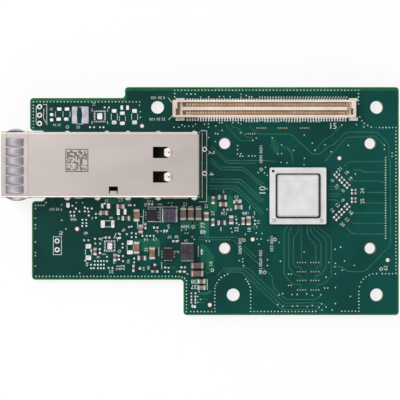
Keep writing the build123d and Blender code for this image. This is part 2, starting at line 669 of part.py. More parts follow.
def port_connector_contacts():
    """Two rows of contacts: a tapering beam in its channel and a tail down to the board."""
    slot_low, slot_high = host_levels()
    sheet = HOST_CONTACT_SHEET
    beam_x = HOST_FRONT + 2 * sheet
    rows = (
        (slot_high + HOST_CHANNEL_CLEARANCE, HOST_REAR + HOST_TAIL_SPREAD),
        (slot_low - HOST_CHANNEL_CLEARANCE - sheet, HOST_REAR + HOST_CHANNEL_CLEARANCE),
    )
    contacts = []
    for level, tail_x in rows:
        outline = [
            (beam_x, level), (tail_x, level), (tail_x, BOARD_TOP), (tail_x + sheet, BOARD_TOP),
            (tail_x + sheet, level + sheet),
        ]
        contact = side_profile(outline, around(0, HOST_CONTACT_WIDTH))
        for dy in host_row():
            contacts.append(Pos(0, CAGE_CENTRE_Y + dy, 0) * contact)
    return Compound(children=contacts)


def mezzanine_span():
    """The mezzanine housing's ends along X, which overhang the contact field unequally."""
    field = MEZZ_PITCH * (MEZZ_CONTACTS_PER_ROW - 1)
    front = MEZZ_CENTRE_X - field / 2 - MEZZ_FRONT_OVERHANG
    rear = MEZZ_CENTRE_X + field / 2 + MEZZ_REAR_OVERHANG
    return front, rear


def mezzanine_connector_housing():
    """Moulded tub with a long central tongue, raised end shelves and keying pockets."""
    front, rear = mezzanine_span()
    under = BOARD_TOP + MEZZ_STANDOFF
    top = BOARD_TOP + MEZZ_BODY_HEIGHT
    cavity_half = MEZZ_BODY_WIDTH / 2 - MEZZ_RAIL
    low_half = (MEZZ_CENTRE_Y - cavity_half, MEZZ_CENTRE_Y)
    high_half = (MEZZ_CENTRE_Y, MEZZ_CENTRE_Y + cavity_half)
    tub = block((front, rear), around(MEZZ_CENTRE_Y, MEZZ_BODY_WIDTH), (under, top))
    tub = chamfer(tub.edges().filter_by(Axis.Z), MEZZ_CORNER_BEVEL)

    # The cavity is shallow over a short shelf at each end and deep between the shelves
    cavity_x = (front + MEZZ_FRONT_WALL, rear - MEZZ_REAR_WALL)
    deep_x = (cavity_x[0] + MEZZ_SHELF_LENGTH, cavity_x[1] - MEZZ_SHELF_LENGTH)
    deep_z = (under + MEZZ_FLOOR, top + OVERCUT)
    tub -= block(cavity_x, around(MEZZ_CENTRE_Y, 2 * cavity_half), (top - MEZZ_SHELF_DROP, top + OVERCUT))
    tub -= block(deep_x, around(MEZZ_CENTRE_Y, 2 * cavity_half), deep_z)
    tub -= block((cavity_x[0] - MEZZ_FRONT_KEY_LENGTH, cavity_x[0]), low_half, deep_z)
    tub -= block((cavity_x[0] - MEZZ_FRONT_NOTCH_LENGTH, cavity_x[0]), high_half, deep_z)
    tub -= block((cavity_x[1], cavity_x[1] + MEZZ_REAR_KEY_LENGTH), low_half, deep_z)
    tongue_x = (cavity_x[0] + MEZZ_TONGUE_FRONT_GAP, cavity_x[1] - MEZZ_TONGUE_REAR_GAP)
    tub += block(tongue_x, around(MEZZ_CENTRE_Y, MEZZ_TONGUE_WIDTH), (under, top - MEZZ_TONGUE_DROP))

    # A slit beside each face of the tongue lets the contact blades through the floor
    field = MEZZ_PITCH * (MEZZ_CONTACTS_PER_ROW - 1) + BLADE_WIDTH + 2 * MEZZ_BLADE_CLEARANCE
    slit = BLADE_SHEET + MEZZ_BLADE_CLEARANCE
    for side in (-1, 1):
        near = MEZZ_CENTRE_Y + side * MEZZ_TONGUE_WIDTH / 2
        slit_y = sorted((near, near + side * slit))
        tub -= block(around(MEZZ_CENTRE_X, field), slit_y, (under - OVERCUT, under + MEZZ_FLOOR))

    # Feet under the two ends hold the tub off the board, clear of the contact rows
    foot_length = MEZZ_REAR_OVERHANG - BLADE_WIDTH / 2 - MEZZ_FOOT_GAP
    foot_y = around(MEZZ_CENTRE_Y, MEZZ_BODY_WIDTH - 2 * MEZZ_CORNER_BEVEL)
    for foot_x in ((front, front + foot_length), (rear - foot_length, rear)):
        tub += block(foot_x, foot_y, (BOARD_TOP, under))
    return tub


def mezzanine_connector_contacts():
    """Two rows of formed contacts: blade beside the tongue, run under the rail and flat foot."""
    lift = BOARD_TOP + BLADE_LIFT
    blade_y = MEZZ_TONGUE_WIDTH / 2
    tip_y = MEZZ_BODY_WIDTH / 2 + FOOT_REACH
    blade_top = BOARD_TOP + MEZZ_BODY_HEIGHT - MEZZ_TONGUE_DROP - BLADE_TIP_DROP
    profile = [
        (blade_y, lift), (blade_y, blade_top), (blade_y + BLADE_SHEET, lift + BLADE_SHEET),
        (tip_y, BOARD_TOP + FOOT_THICKNESS), (tip_y, BOARD_TOP), (tip_y - FOOT_LENGTH, BOARD_TOP),
    ]
    contact = end_profile(profile, around(0, BLADE_WIDTH))
    mirrored = contact.mirror(Plane.XZ)
    contacts = []
    for dx in row(MEZZ_CONTACTS_PER_ROW, MEZZ_PITCH):
        place = Pos(MEZZ_CENTRE_X + dx, MEZZ_CENTRE_Y, 0)
        contacts += [place * contact, place * mirrored]
    return Compound(children=contacts)


def mezzanine_hold_downs():
    """Four bent clips soldered to the board, flat against the housing's long sides."""
    front, rear = mezzanine_span()
    wall = MEZZ_BODY_WIDTH / 2
    profile = [
        (wall, BOARD_TOP), (wall + CLIP_FOOT, BOARD_TOP), (wall + CLIP_FOOT, BOARD_TOP + CLIP_SHEET),
        (wall + CLIP_SHEET, BOARD_TOP + CLIP_SHEET), (wall + CLIP_SHEET, BOARD_TOP + CLIP_HEIGHT),
        (wall, BOARD_TOP + CLIP_HEIGHT),
    ]
    centre = Pos(0, MEZZ_CENTRE_Y, 0)
    clips = []
    for start in (front + CLIP_FRONT_INSET, rear + CLIP_REAR_PROUD - CLIP_LENGTH):
        clip = end_profile(profile, (start, start + CLIP_LENGTH))
        clips += [centre * clip, centre * clip.mirror(Plane.XZ)]
    return Compound(children=clips)


def processor_substrate():
    """Laminate carrier of the processor, standing on its solder balls."""
    bottom = BOARD_TOP + BALL_HEIGHT
    return block(
        around(PROCESSOR_X, SUBSTRATE_SIDE), around(PROCESSOR_Y, SUBSTRATE_SIDE),
        (bottom, bottom + SUBSTRATE_THICKNESS),
    )


def processor_lid():
    """Stamped lid: a brim as wide as the carrier and a raised plate ringed by a groove."""
    bottom = BOARD_TOP + BALL_HEIGHT + SUBSTRATE_THICKNESS
    brim = extrude(RectangleRounded(LID_SIDE, LID_SIDE, LID_CORNER_RADIUS), LID_BRIM)
    plate = chamfer(Rectangle(LID_RAISED_SIDE, LID_RAISED_SIDE).vertices(), LID_RAISED_BEVEL)
    raised = extrude(plate, LID_BRIM + LID_RAISED_HEIGHT)
    groove_outer = LID_RAISED_SIDE - 2 * LID_GROOVE_INSET
    groove_inner = groove_outer - 2 * LID_GROOVE_WIDTH
    groove = Rectangle(groove_outer, groove_outer) - Rectangle(groove_inner, groove_inner)
    top = LID_BRIM + LID_RAISED_HEIGHT
    lid = brim + raised - Pos(0, 0, top - LID_GROOVE_DEPTH) * extrude(groove, LID_GROOVE_DEPTH + OVERCUT)
    return Pos(PROCESSOR_X, PROCESSOR_Y, bottom) * lid


def processor_solder_balls():
    """The outer row of solder balls, as short posts of the balls' width."""
    ball = extrude(Rectangle(BALL_DIAMETER, BALL_DIAMETER), BALL_HEIGHT)
    offsets = row(BALLS_PER_SIDE, BALL_PITCH)
    edge = offsets[-1]
    places = [(step, side * edge) for step in offsets for side in (-1, 1)]
    places += [(side * edge, step) for step in offsets[1:-1] for side in (-1, 1)]
    centre = Pos(PROCESSOR_X, PROCESSOR_Y, BOARD_TOP)
    return Compound(children=[centre * Pos(dx, dy, 0) * ball for dx, dy in places])


def beside_cage(places):
    """Places given from the cage's rear lower corner, as places on the board."""
    return [(CAGE_REAR + x, CAGE_LOW_Y + y, turn) for x, y, turn in places]


def on_board(place, level=BOARD_TOP):
    """The location of a part that stands at a place on the board."""
    x, y, turn = place
    return Pos(x, y, level) * Rot(0, 0, turn)


def inductor_core(size, place):
    """Moulded core with bevelled upright and upper edges, on its two terminals."""
    length, width, height = size
    core = Pos(0, 0, height / 2) * Box(length, width, height)
    core = chamfer(core.edges().filter_by(Axis.Z), CORE_EDGE_BEVEL)
    core = chamfer(core.faces().sort_by(Axis.Z)[-1].edges(), CORE_TOP_BEVEL)
    return on_board(place, BOARD_TOP + CORE_TERMINAL_THICKNESS) * core


def inductor_terminals(size, place):
    """Two flat terminals under the core's ends, showing beyond them."""
    length, width, _ = size
    across = width - 2 * CORE_TERMINAL_MARGIN
    reach = CORE_TERMINAL_MARGIN / 2
    ends = []
    for side in (-1, 1):
        x_range = sorted((side * (length / 2 + reach), side * (length / 2 - CORE_TERMINAL_LENGTH)))
        ends.append(on_board(place) * block(x_range, around(0, across), (0, CORE_TERMINAL_THICKNESS)))
    return Compound(children=ends)


def regulator_body(place):
    """Moulded leadless package, on its lands."""
    body = Pos(0, 0, REGULATOR_THICKNESS / 2) * Box(REGULATOR_SIDE, REGULATOR_SIDE, REGULATOR_THICKNESS)
    return on_board(place, BOARD_TOP + REGULATOR_LAND_THICKNESS) * body


def regulator_lands(place):
    """Lands along the four edges of the package, just showing beyond it."""
    outer = REGULATOR_SIDE / 2 + REGULATOR_LAND_SHOW
    land_x = (outer - REGULATOR_LAND_LENGTH, outer)
    land = block(land_x, around(0, REGULATOR_LAND_WIDTH), (0, REGULATOR_LAND_THICKNESS))
    lands = []
    for quarter in range(4):
        for step in row(REGULATOR_LANDS_PER_SIDE, REGULATOR_LAND_PITCH):
            lands.append(on_board(place) * Rot(0, 0, 90 * quarter) * Pos(0, step, 0) * land)
    return Compound(children=lands)


def transistor_bodies():
    """Two small moulded transistors, standing just clear of the board."""
    low, high = TRANSISTOR_STANDOFF, TRANSISTOR_STANDOFF + TRANSISTOR_HEIGHT
    body = block(around(0, TRANSISTOR_LENGTH), around(0, TRANSISTOR_WIDTH), (low, high))
    return Compound(children=[on_board(place) * body for place in beside_cage(TRANSISTOR_PLACES)])


def transistor_leads():
    """Gull-wing leads, two on one side of each transistor and one on the other."""
    wall = TRANSISTOR_WIDTH / 2
    sheet = TRANSISTOR_LEAD_SHEET
    level = TRANSISTOR_STANDOFF + TRANSISTOR_LEAD_LEVEL
    bend_y = wall + sheet
    profile = [
        (wall, level), (wall, level + sheet), (bend_y + sheet, level + sheet), (bend_y + sheet, sheet),
        (wall + TRANSISTOR_LEAD_REACH, sheet), (wall + TRANSISTOR_LEAD_REACH, 0),
        (bend_y, 0), (bend_y, level),
    ]
    lead = end_profile(profile, around(0, TRANSISTOR_LEAD_WIDTH))
    across = lead.mirror(Plane.XZ)
    half = TRANSISTOR_LEAD_SPACING / 2
    leads = []
    for place in beside_cage(TRANSISTOR_PLACES):
        spot = on_board(place)
        leads += [spot * Pos(-half, 0, 0) * lead, spot * Pos(half, 0, 0) * lead, spot * across]
    return Compound(children=leads)


def chip_bodies(size, end_cap, places, level=BOARD_TOP):
    """Ceramic bodies of two-terminal chip parts, between their end caps."""
    length, width, height = size
    body = block(
        around(0, length - 2 * end_cap), around(0, width - 2 * END_CAP_PROUD),
        (END_CAP_PROUD, height - END_CAP_PROUD),
    )
    return [on_board(place, level) * body for place in places]


def chip_ends(size, end_cap, places, level=BOARD_TOP):
    """Metallised end caps of two-terminal chip parts, a little proud of the body."""
    length, width, height = size
    middle = (length - end_cap) / 2
    cap = Pos(0, 0, height / 2) * Box(end_cap, width, height)
    return [on_board(place, level) * Pos(side * middle, 0, 0) * cap for place in places for side in (-1, 1)]


def resistor_faces(size, end_cap, places):
    """Dark printed resistive faces on top of the resistor bodies."""
    length, width, height = size
    face = block(
        around(0, length - 2 * end_cap), around(0, width - 2 * END_CAP_PROUD),
        (height - END_CAP_PROUD, height - END_CAP_PROUD + RESISTOR_FACE_THICKNESS),
    )
    return [on_board(place) * face for place in places]


def coupling_places():
    """Each coupling pair is two parts side by side across the pair's own direction."""
    places = []
    for x, y, turn in COUPLING_PAIRS:
        for side in (-1, 1):
            spot = Pos(PROCESSOR_X + x, PROCESSOR_Y + y, 0) * Rot(0, 0, turn)
            spot *= Pos(0, side * COUPLING_PAIR_SPACING / 2, 0)
            places.append((spot.position.X, spot.position.Y, turn))
    return places


def bypass_places():
    """Columns of bypass capacitors on the underside, behind the processor."""
    return [
        (PROCESSOR_X + dx, PROCESSOR_Y + dy, 0)
        for dx in row(BYPASS_COLUMNS, BYPASS_COLUMN_SPACING)
        for dy in row(BYPASS_ROWS, BYPASS_ROW_SPACING)
    ]


def all_pieces():
    """Every piece of the card by its node name."""
    under_level = -TINY_CHIP_HEIGHT
    left_core, lower_core, left_regulator, lower_regulator = beside_cage((
        LEFT_CORE_PLACE, LOWER_CORE_PLACE, LEFT_REGULATOR_PLACE, LOWER_REGULATOR_PLACE,
    ))
    pieces = {
        "circuit_board": circuit_board(),
        "cage_cover": cage_cover(),
        "cage_base": cage_base(),
        "emi_spring_collar": emi_spring_collar(),
        "port_connector_housing": port_connector_housing(),
        "port_connector_contacts": port_connector_contacts(),
        "mezzanine_connector_housing": mezzanine_connector_housing(),
        "mezzanine_connector_contacts": mezzanine_connector_contacts(),
        "mezzanine_hold_downs": mezzanine_hold_downs(),
        "processor_substrate": processor_substrate(),
        "processor_lid": processor_lid(),
        "processor_solder_balls": processor_solder_balls(),
        "left_inductor_core": inductor_core(LEFT_CORE, left_core),
        "left_inductor_terminals": inductor_terminals(LEFT_CORE, left_core),
        "lower_inductor_core": inductor_core(LOWER_CORE, lower_core),
        "lower_inductor_terminals": inductor_terminals(LOWER_CORE, lower_core),
        "left_regulator_body": regulator_body(left_regulator),
        "left_regulator_lands": regulator_lands(left_regulator),
        "lower_regulator_body": regulator_body(lower_regulator),
        "lower_regulator_lands": regulator_lands(lower_regulator),
        "transistor_bodies": transistor_bodies(),
        "transistor_leads": transistor_leads(),
    }
    chip_groups = (
        ("large_capacitor", LARGE_CHIP, LARGE_END_CAP, beside_cage(LARGE_CAPACITORS), BOARD_TOP),
        ("tan_capacitor", TAN_CHIP, LARGE_END_CAP, beside_cage(TAN_CAPACITORS), BOARD_TOP),
        ("medium_capacitor", MEDIUM_CHIP, MEDIUM_END_CAP, beside_cage(MEDIUM_CAPACITORS), BOARD_TOP),
        ("medium_resistor", MEDIUM_RESISTOR, MEDIUM_END_CAP, beside_cage(MEDIUM_RESISTORS), BOARD_TOP),
        ("small_capacitor", SMALL_CHIP, SMALL_END_CAP, beside_cage(SMALL_CAPACITORS), BOARD_TOP),
        ("tiny_part", TINY_CHIP, TINY_END_CAP, beside_cage(TINY_PARTS), BOARD_TOP),
        ("coupling_capacitor", TINY_CHIP, TINY_END_CAP, coupling_places(), BOARD_TOP),
        ("bypass_capacitor", TINY_CHIP, TINY_END_CAP, bypass_places(), under_level),
    )
    for name, size, end_cap, places, level in chip_groups:
        pieces[name + "_bodies"] = Compound(children=chip_bodies(size, end_cap, places, level))
        pieces[name + "_ends"] = Compound(children=chip_ends(size, end_cap, places, level))
    faces = resistor_faces(MEDIUM_RESISTOR, MEDIUM_END_CAP, beside_cage(MEDIUM_RESISTORS))
    pieces["medium_resistor_faces"] = Compound(children=faces)
    return pieces


os.makedirs("parts", exist_ok=True)
for name, piece in all_pieces().items():
    export_step(piece, "parts/" + name + ".step")
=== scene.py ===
import bmesh
import bpy
import json
import math
import random
from mathutils import Matrix, Vector


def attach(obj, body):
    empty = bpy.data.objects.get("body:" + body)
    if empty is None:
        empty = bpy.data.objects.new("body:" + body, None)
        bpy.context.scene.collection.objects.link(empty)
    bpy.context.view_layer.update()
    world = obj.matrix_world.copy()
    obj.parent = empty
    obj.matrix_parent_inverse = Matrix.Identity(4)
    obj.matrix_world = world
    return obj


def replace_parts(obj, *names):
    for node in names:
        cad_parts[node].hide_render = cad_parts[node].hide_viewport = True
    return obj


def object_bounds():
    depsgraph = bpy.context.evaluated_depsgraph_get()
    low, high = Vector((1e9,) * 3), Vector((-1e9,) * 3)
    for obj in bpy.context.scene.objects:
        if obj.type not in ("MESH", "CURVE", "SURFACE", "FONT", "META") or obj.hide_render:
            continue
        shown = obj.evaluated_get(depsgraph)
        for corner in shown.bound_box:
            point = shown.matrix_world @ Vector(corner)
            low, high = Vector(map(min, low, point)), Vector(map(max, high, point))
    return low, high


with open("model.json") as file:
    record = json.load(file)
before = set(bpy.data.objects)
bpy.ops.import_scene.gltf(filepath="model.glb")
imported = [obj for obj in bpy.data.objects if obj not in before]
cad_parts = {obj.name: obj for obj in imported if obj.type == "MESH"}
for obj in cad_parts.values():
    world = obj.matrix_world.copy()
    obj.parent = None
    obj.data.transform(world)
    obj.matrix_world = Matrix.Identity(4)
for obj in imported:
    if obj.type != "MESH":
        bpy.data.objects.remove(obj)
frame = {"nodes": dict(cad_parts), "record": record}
cad_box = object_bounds()

# Frame of the photograph: the board's upper face in pixels, and the camera over it
MM = 0.001
PIXELS_PER_MM = 3.351
ORIGIN_PIXEL = (376.65, 201.1)
CAMERA_PLACE = (-52.716, 0.328, 371.6)
CAMERA_HALF_WIDTH = 59.68
CAMERA_DISTANCE = 370.0

# The card's own sizes in millimetres, as the solids have them
BOARD_TOP = 1.6
BOARD_REAR, BOARD_HALF_WIDTH = 6.6, 34.0
UPPER_TAB_FRONT, UPPER_TAB_EDGE, UPPER_TAB_FOOT, UPPER_STEP = -103.4, 30.75, 21.5, -75.1
LOWER_TAB_FRONT, LOWER_TAB_EDGE, LOWER_STEP = -102.85, -23.45, -57.65
RECESS_MOUTH, RECESS_REAR, RECESS_LOW_Y, RECESS_HIGH_Y = -99.4, -98.35, 0.9, 19.9
CAGE_FRONT, CAGE_REAR = -110.5, -52.7
CAGE_LOW_Y, CAGE_HIGH_Y = 1.05, 20.15
CAGE_MIDDLE_Y = (CAGE_LOW_Y + CAGE_HIGH_Y) / 2
CAGE_TOP = 11.3
CAGE_BEND = 0.75
MEZZ_X, MEZZ_Y = -32.9, 27.35
MEZZ_PITCH = 0.8
MEZZ_PER_ROW = 60
HOUSING_HALF = 2.5
CONTACT_SHEET = 0.16
CHIP_X, CHIP_Y = -23.65, 1.55
CHIP_HALF = 8.4
LID_TOP = 4.3
LID_BRIM_TOP = 3.75
FINGER_START, FINGER_END = -109.15, -103.95
FINGER_LENGTH = FINGER_END - FINGER_START

# Levels of the thin layers on the board
POUR_TOP = BOARD_TOP + 0.012
PATCH_TOP = BOARD_TOP + 0.018
TRACE_TOP = BOARD_TOP + 0.026
SILK_TOP = BOARD_TOP + 0.034
VIA_TOP = BOARD_TOP + 0.04
PAD_TOP = BOARD_TOP + 0.08


def at(px, py):
    """A place on the board's upper face in millimetres, from a pixel of the photograph."""
    return ((px - ORIGIN_PIXEL[0]) / PIXELS_PER_MM, (ORIGIN_PIXEL[1] - py) / PIXELS_PER_MM)


def linear(tone):
    """A colour from its screen values."""
    parts = []
    for value in tone:
        share = value / 255
        parts.append(share / 12.92 if share <= 0.04045 else ((share + 0.055) / 1.055) ** 2.4)
    return (*parts, 1.0)


# Shader nodes, with the places of the colour sockets on a mix node
MIX_SHARE, MIX_FIRST, MIX_SECOND, MIX_RESULT = 0, 6, 7, 2


class Shader:
    """The nodes of a material or of the world."""

    def __init__(self, owner):
        owner.use_nodes = True
        self.nodes, self.links = owner.node_tree.nodes, owner.node_tree.links

    def feed(self, node, inputs):
        """Sets a node's inputs to values, or links them to outputs."""
        for key, value in inputs.items():
            if isinstance(value, bpy.types.NodeSocket):
                self.links.new(value, node.inputs[key])
            else:
                node.inputs[key].default_value = value

    def add(self, kind, inputs=None, **settings):
        """The outputs of a new node."""
        node = self.nodes.new("ShaderNode" + kind)
        for name, value in settings.items():
            setattr(node, name, value)
        self.feed(node, inputs or {})
        return node.outputs

    def maths(self, operation, *values):
        """The result of one step of arithmetic."""
        return self.add("Math", dict(enumerate(values)), operation=operation)["Value"]

    def ranged(self, value, span, target):
        """A value carried from one span to another, and kept inside it."""
        names = ("From Min", "From Max", "To Min", "To Max")
        inputs = dict(zip(names, (*span, *target)))
        return self.add("MapRange", {"Value": value, **inputs})["Result"]

    def between(self, share, first, second):
        """A colour between two, by a share from nought to one."""
        inputs = {MIX_SHARE: share, MIX_FIRST: first, MIX_SECOND: second}
        return self.add("Mix", inputs, data_type="RGBA")[MIX_RESULT]

    def along(self, axis, vector):
        """A vector's part along one axis."""
        return self.add("SeparateXYZ", {"Vector": vector})[axis]


# Colours that depend on the place: the laminate's layers, and painted shade inside the cage and at the
# fingers' ends
LAMINATE_TONES = ((132, 130, 84), (92, 104, 66))
LAMINATE_LAYERS = {"Scale": 900, "Distortion": 1.5}
FLAT_LIMIT = 0.5
INNER_SHADE_TONE = (34, 32, 32)
INNER_SHADE_SPANS = {
    "X": (CAGE_FRONT + 0.12, CAGE_REAR - 0.12),
    "Y": (CAGE_LOW_Y + 0.3, CAGE_HIGH_Y - 0.3),
    "Z": (BOARD_TOP + 0.15, CAGE_TOP - 0.15),
}
TIP_SHADE_TONE = (124, 118, 125)
TIP_SHADE_SPAN = (0.1 * FINGER_LENGTH * MM, 0.5 * FINGER_LENGTH * MM)


def side_colour(shader, place, colour):
    """The cut edge and the holes of the board show its layered laminate."""
    upright = shader.maths("ABSOLUTE", shader.along("Z", shader.add("NewGeometry")["Normal"]))
    flat = shader.maths("GREATER_THAN", upright, FLAT_LIMIT)
    layers = shader.add("TexWave", {**LAMINATE_LAYERS, "Vector": place}, bands_direction="Z")
    edge = shader.between(layers["Fac"], *(linear(tone) for tone in LAMINATE_TONES))
    return shader.between(flat, edge, colour)


def inner_painted_shade(shader, place, colour):
    """Inside the cage the sheet is painted dark, as painted shade where no light reaches."""
    inside = 1.0
    for axis, (low, high) in INNER_SHADE_SPANS.items():
        middle, reach = (low + high) / 2 * MM, (high - low) / 2 * MM
        within = shader.maths("COMPARE", shader.along(axis, place), middle, reach)
        inside = shader.maths("MULTIPLY", inside, within)
    return shader.between(inside, colour, linear(INNER_SHADE_TONE))


def tip_painted_shade(shader, place, colour):
    """The spring fingers darken from their middle towards both ends, as painted shade where they bow down.
    """
    middle = (FINGER_START + FINGER_END) / 2 * MM
    offset = shader.maths("SUBTRACT", shader.along("X", place), middle)
    share = shader.ranged(shader.maths("ABSOLUTE", offset), TIP_SHADE_SPAN, (0, 1))
    return shader.between(share, colour, linear(TIP_SHADE_TONE))


# Materials; those named after a record slot go to the nodes of that slot
MATERIALS = {}
RAMP_STOPS = (0.32, 0.5, 0.68)
NOISE_SPAN = (0.3, 0.7)
BROAD_DETAIL, FINE_DETAIL = 5, 6


def surface(name, tones, scale, roughness, metallic=0.0, specular=0.5, bump=0.006,
            bump_scale=4, stretch=(1, 1, 1), drift=0.0, change=None):
    """A material of three tones whose colour, roughness and relief come from noise over the card."""
    material = bpy.data.materials.new(name + "_finish")
    shader = Shader(material)
    place = shader.add("TexCoord")["Object"]
    spread = shader.add("Mapping", {"Vector": place, "Scale": stretch})["Vector"]
    noise = {"Vector": spread, "Scale": scale, "Detail": BROAD_DETAIL}
    broad = shader.add("TexNoise", noise)["Fac"]
    noise = {"Vector": spread, "Scale": scale * bump_scale, "Detail": FINE_DETAIL}
    fine = shader.add("TexNoise", noise)["Fac"]
    if drift:
        slope = shader.ranged(shader.along("X", place), (CAGE_FRONT * MM, 0.0), (-drift, drift))
        broad = shader.maths("ADD", broad, slope)
    colour = shader.add("ValToRGB", {"Fac": broad})["Color"]
    stops = colour.node.color_ramp.elements
    stops.new(RAMP_STOPS[1])
    for stop, position, tone in zip(stops, RAMP_STOPS, tones):
        stop.position = position
        stop.color = linear(tone)
    if change:
        colour = change(shader, place, colour)
    shader.feed(shader.nodes["Principled BSDF"], {
        "Base Color": colour, "Metallic": metallic, "Specular IOR Level": specular,
        "Roughness": shader.ranged(fine, NOISE_SPAN, roughness),
        "Normal": shader.add("Bump", {"Distance": bump * MM, "Height": fine})["Normal"],
    })
    MATERIALS[name] = material


def ceramic(name, *tones):
    """The fired body of a capacitor."""
    surface(name, tones, 700, (0.4, 0.54), specular=0.25)


def pressed_powder(name, *tones):
    """The grainy body of an inductor."""
    surface(name, tones, 900, (0.5, 0.68), specular=0.25, bump=0.016)


# The board and what is printed on it
surface("solder_mask", ((20, 82, 44), (27, 96, 54), (36, 108, 62)), 260, (0.34, 0.46),
        specular=0.15, bump=0.004, bump_scale=6, change=side_colour)
surface("pour", ((10, 54, 50), (6, 62, 57), (6, 72, 65)), 70, (0.3, 0.42),
        specular=0.1, bump=0.003, bump_scale=28, drift=0.16)
surface("patch", ((14, 79, 62), (22, 90, 71), (32, 101, 80)), 200, (0.28, 0.4),
        specular=0.15, bump=0.003, bump_scale=9)
surface("trace", ((26, 86, 72), (36, 96, 80), (48, 108, 92)), 300, (0.25, 0.38),
        specular=0.25, bump=0.003, bump_scale=6)
surface("silk", ((178, 196, 186), (198, 212, 202), (216, 226, 218)), 900, (0.55, 0.7),
        bump=0.004)

# Solder and plating
surface("solder", ((196, 194, 192), (218, 216, 214), (236, 234, 232)), 700, (0.24, 0.42),
        metallic=0.7, bump=0.01, bump_scale=3)
surface("paste_pad", ((158, 154, 168), (176, 172, 186), (194, 190, 202)), 500, (0.3, 0.45),
        metallic=0.6, bump=0.008)
surface("via", ((140, 178, 158), (166, 196, 178), (194, 214, 200)), 500, (0.35, 0.5),
        metallic=0.2, bump=0.004)
surface("dull_gold", ((138, 142, 108), (158, 156, 120), (180, 174, 140)), 600, (0.35, 0.5),
        metallic=0.4, bump=0.004)

# Bare laminate, and painted shade for open holes, whose dark tone also serves the pin mark
surface("bare_laminate", ((92, 62, 44), (112, 80, 58), (132, 98, 72)), 700, (0.5, 0.65),
        specular=0.2)
surface("hole_shade_and_pin_mark", ((26, 17, 17), (36, 25, 24), (50, 38, 36)), 700, (0.6, 0.8),
        specular=0.1)

# Cage, collar and contacts
# Dark etching for the code square and the stamped rings, also used as painted shade beside the window lips
surface("etching_and_lip_shade", ((88, 78, 72), (104, 93, 86), (120, 109, 101)), 900, (0.5, 0.7),
        metallic=0.3, bump=0.004, bump_scale=3)
# The cage sheet gets painted shade on its faces inside the cage
surface("cage_sheet", ((170, 161, 157), (175, 166, 162), (180, 171, 167)), 40, (0.36, 0.46),
        metallic=0.8, bump=0.003, bump_scale=60, stretch=(1, 2.6, 1), change=inner_painted_shade)
# Bright metal of the fiducials, also used as a painted highlight on the window lips
surface("bright_metal_and_lip_highlight", ((222, 214, 208), (232, 225, 220), (242, 236, 231)), 500, (0.3, 0.42),
        metallic=0.5, bump=0.004)
surface("collar_band", ((168, 159, 156), (175, 166, 163), (182, 173, 170)), 160, (0.32, 0.42),
        metallic=0.85, bump=0.003, bump_scale=14)
# The spring fingers get painted shade towards both ends
surface("spring_sheet", ((146, 142, 149), (157, 153, 160), (168, 164, 171)), 160, (0.5, 0.6),
        metallic=0.8, bump=0.003, bump_scale=14, stretch=(1, 3, 3), change=tip_painted_shade)
surface("gold_plate", ((190, 154, 117), (204, 170, 135), (218, 188, 157)), 500, (0.3, 0.44),
        metallic=0.6, bump=0.003)

# Mouldings, end caps and the processor
surface("black_plastic", ((14, 14, 15), (20, 20, 21), (27, 27, 28)), 400, (0.55, 0.7),
        specular=0.3, bump=0.01, bump_scale=5)
surface("cream_plastic", ((220, 203, 187), (228, 213, 198), (236, 223, 210)), 160, (0.42, 0.56),
        specular=0.35, bump=0.008, bump_scale=14)
surface("tinned_metal", ((182, 178, 174), (202, 198, 195), (220, 217, 214)), 600, (0.26, 0.42),
        metallic=0.7)
surface("dull_tin", ((150, 140, 132), (168, 158, 149), (188, 178, 168)), 600, (0.4, 0.54),
        metallic=0.5)
surface("laminate", ((20, 56, 38), (28, 68, 46), (38, 80, 54)), 500, (0.4, 0.55),
        specular=0.3, bump=0.004, bump_scale=5)
surface("plated_lid", ((202, 201, 200), (209, 208, 207), (216, 215, 214)), 240, (0.42, 0.54),
        metallic=0.6, bump=0.008, bump_scale=24)
surface("lid_shade", ((22, 20, 19), (30, 28, 27), (42, 40, 38)), 400, (0.5, 0.65),
        metallic=0.3, bump_scale=8)
surface("dark_package", ((16, 14, 19), (22, 20, 26), (32, 30, 36)), 900, (0.45, 0.62),
        specular=0.25, bump=0.01)

# Bodies of the small parts
surface("resistor_glaze", ((48, 43, 43), (60, 54, 54), (74, 68, 68)), 700, (0.35, 0.5),
        specular=0.3, bump=0.005)
surface("white_ceramic", ((196, 190, 186), (208, 203, 198), (220, 216, 211)), 700, (0.4, 0.55),
        specular=0.3)
pressed_powder("moulded_core", (46, 40, 50), (58, 52, 62), (74, 68, 78))
pressed_powder("pale_core", (60, 54, 67), (74, 69, 84), (90, 85, 101))
ceramic("brown_ceramic", (86, 72, 66), (100, 84, 78), (116, 98, 90))
ceramic("tan_ceramic", (120, 90, 71), (138, 107, 88), (158, 127, 108))
ceramic("dark_ceramic", (70, 48, 46), (86, 62, 58), (104, 80, 76))
ceramic("rosy_ceramic", (112, 94, 88), (129, 110, 103), (148, 129, 122))

# Nodes whose look differs from the rest of their slot
OWN_MATERIAL = {
    "left_inductor_core": "pale_core", "large_capacitor_ends": "dull_tin",
    "coupling_capacitor_bodies": "dark_ceramic", "tiny_part_bodies": "dark_ceramic",
    "medium_capacitor_bodies": "rosy_ceramic", "small_capacitor_bodies": "rosy_ceramic",
    "medium_resistor_faces": "resistor_glaze",
}

for entry in frame["record"]["subparts"]:
    look = OWN_MATERIAL.get(entry["node"], entry["material_slot"])
    node_materials = frame["nodes"][entry["node"]].data.materials
    node_materials.clear()
    node_materials.append(MATERIALS[look])


# Shapes: roundings, mitres, bevels and the sides of round things; corners nearer than the
# weld distance are joined
CORNER_SHARE = 0.45
TURN_REACH = 0.9
CORNER_STEPS = 4
MITRE_LEAST = 0.4
BEVEL_PROFILE = ((0.0, 0.0), (0.5, 0.25), (1.0, 1.0))
BEVEL_ROOM = 1.2
TINY = 1e-6
WELD_DISTANCE = 0.0002
DISC_SIDES, RING_SIDES = 12, 16


def circle(x, y, radius, sides):
    """Points round a circle, anticlockwise."""
    turns = [2 * math.pi * index / sides for index in range(sides)]
    return [(x + radius * math.cos(turn), y + radius * math.sin(turn)) for turn in turns]


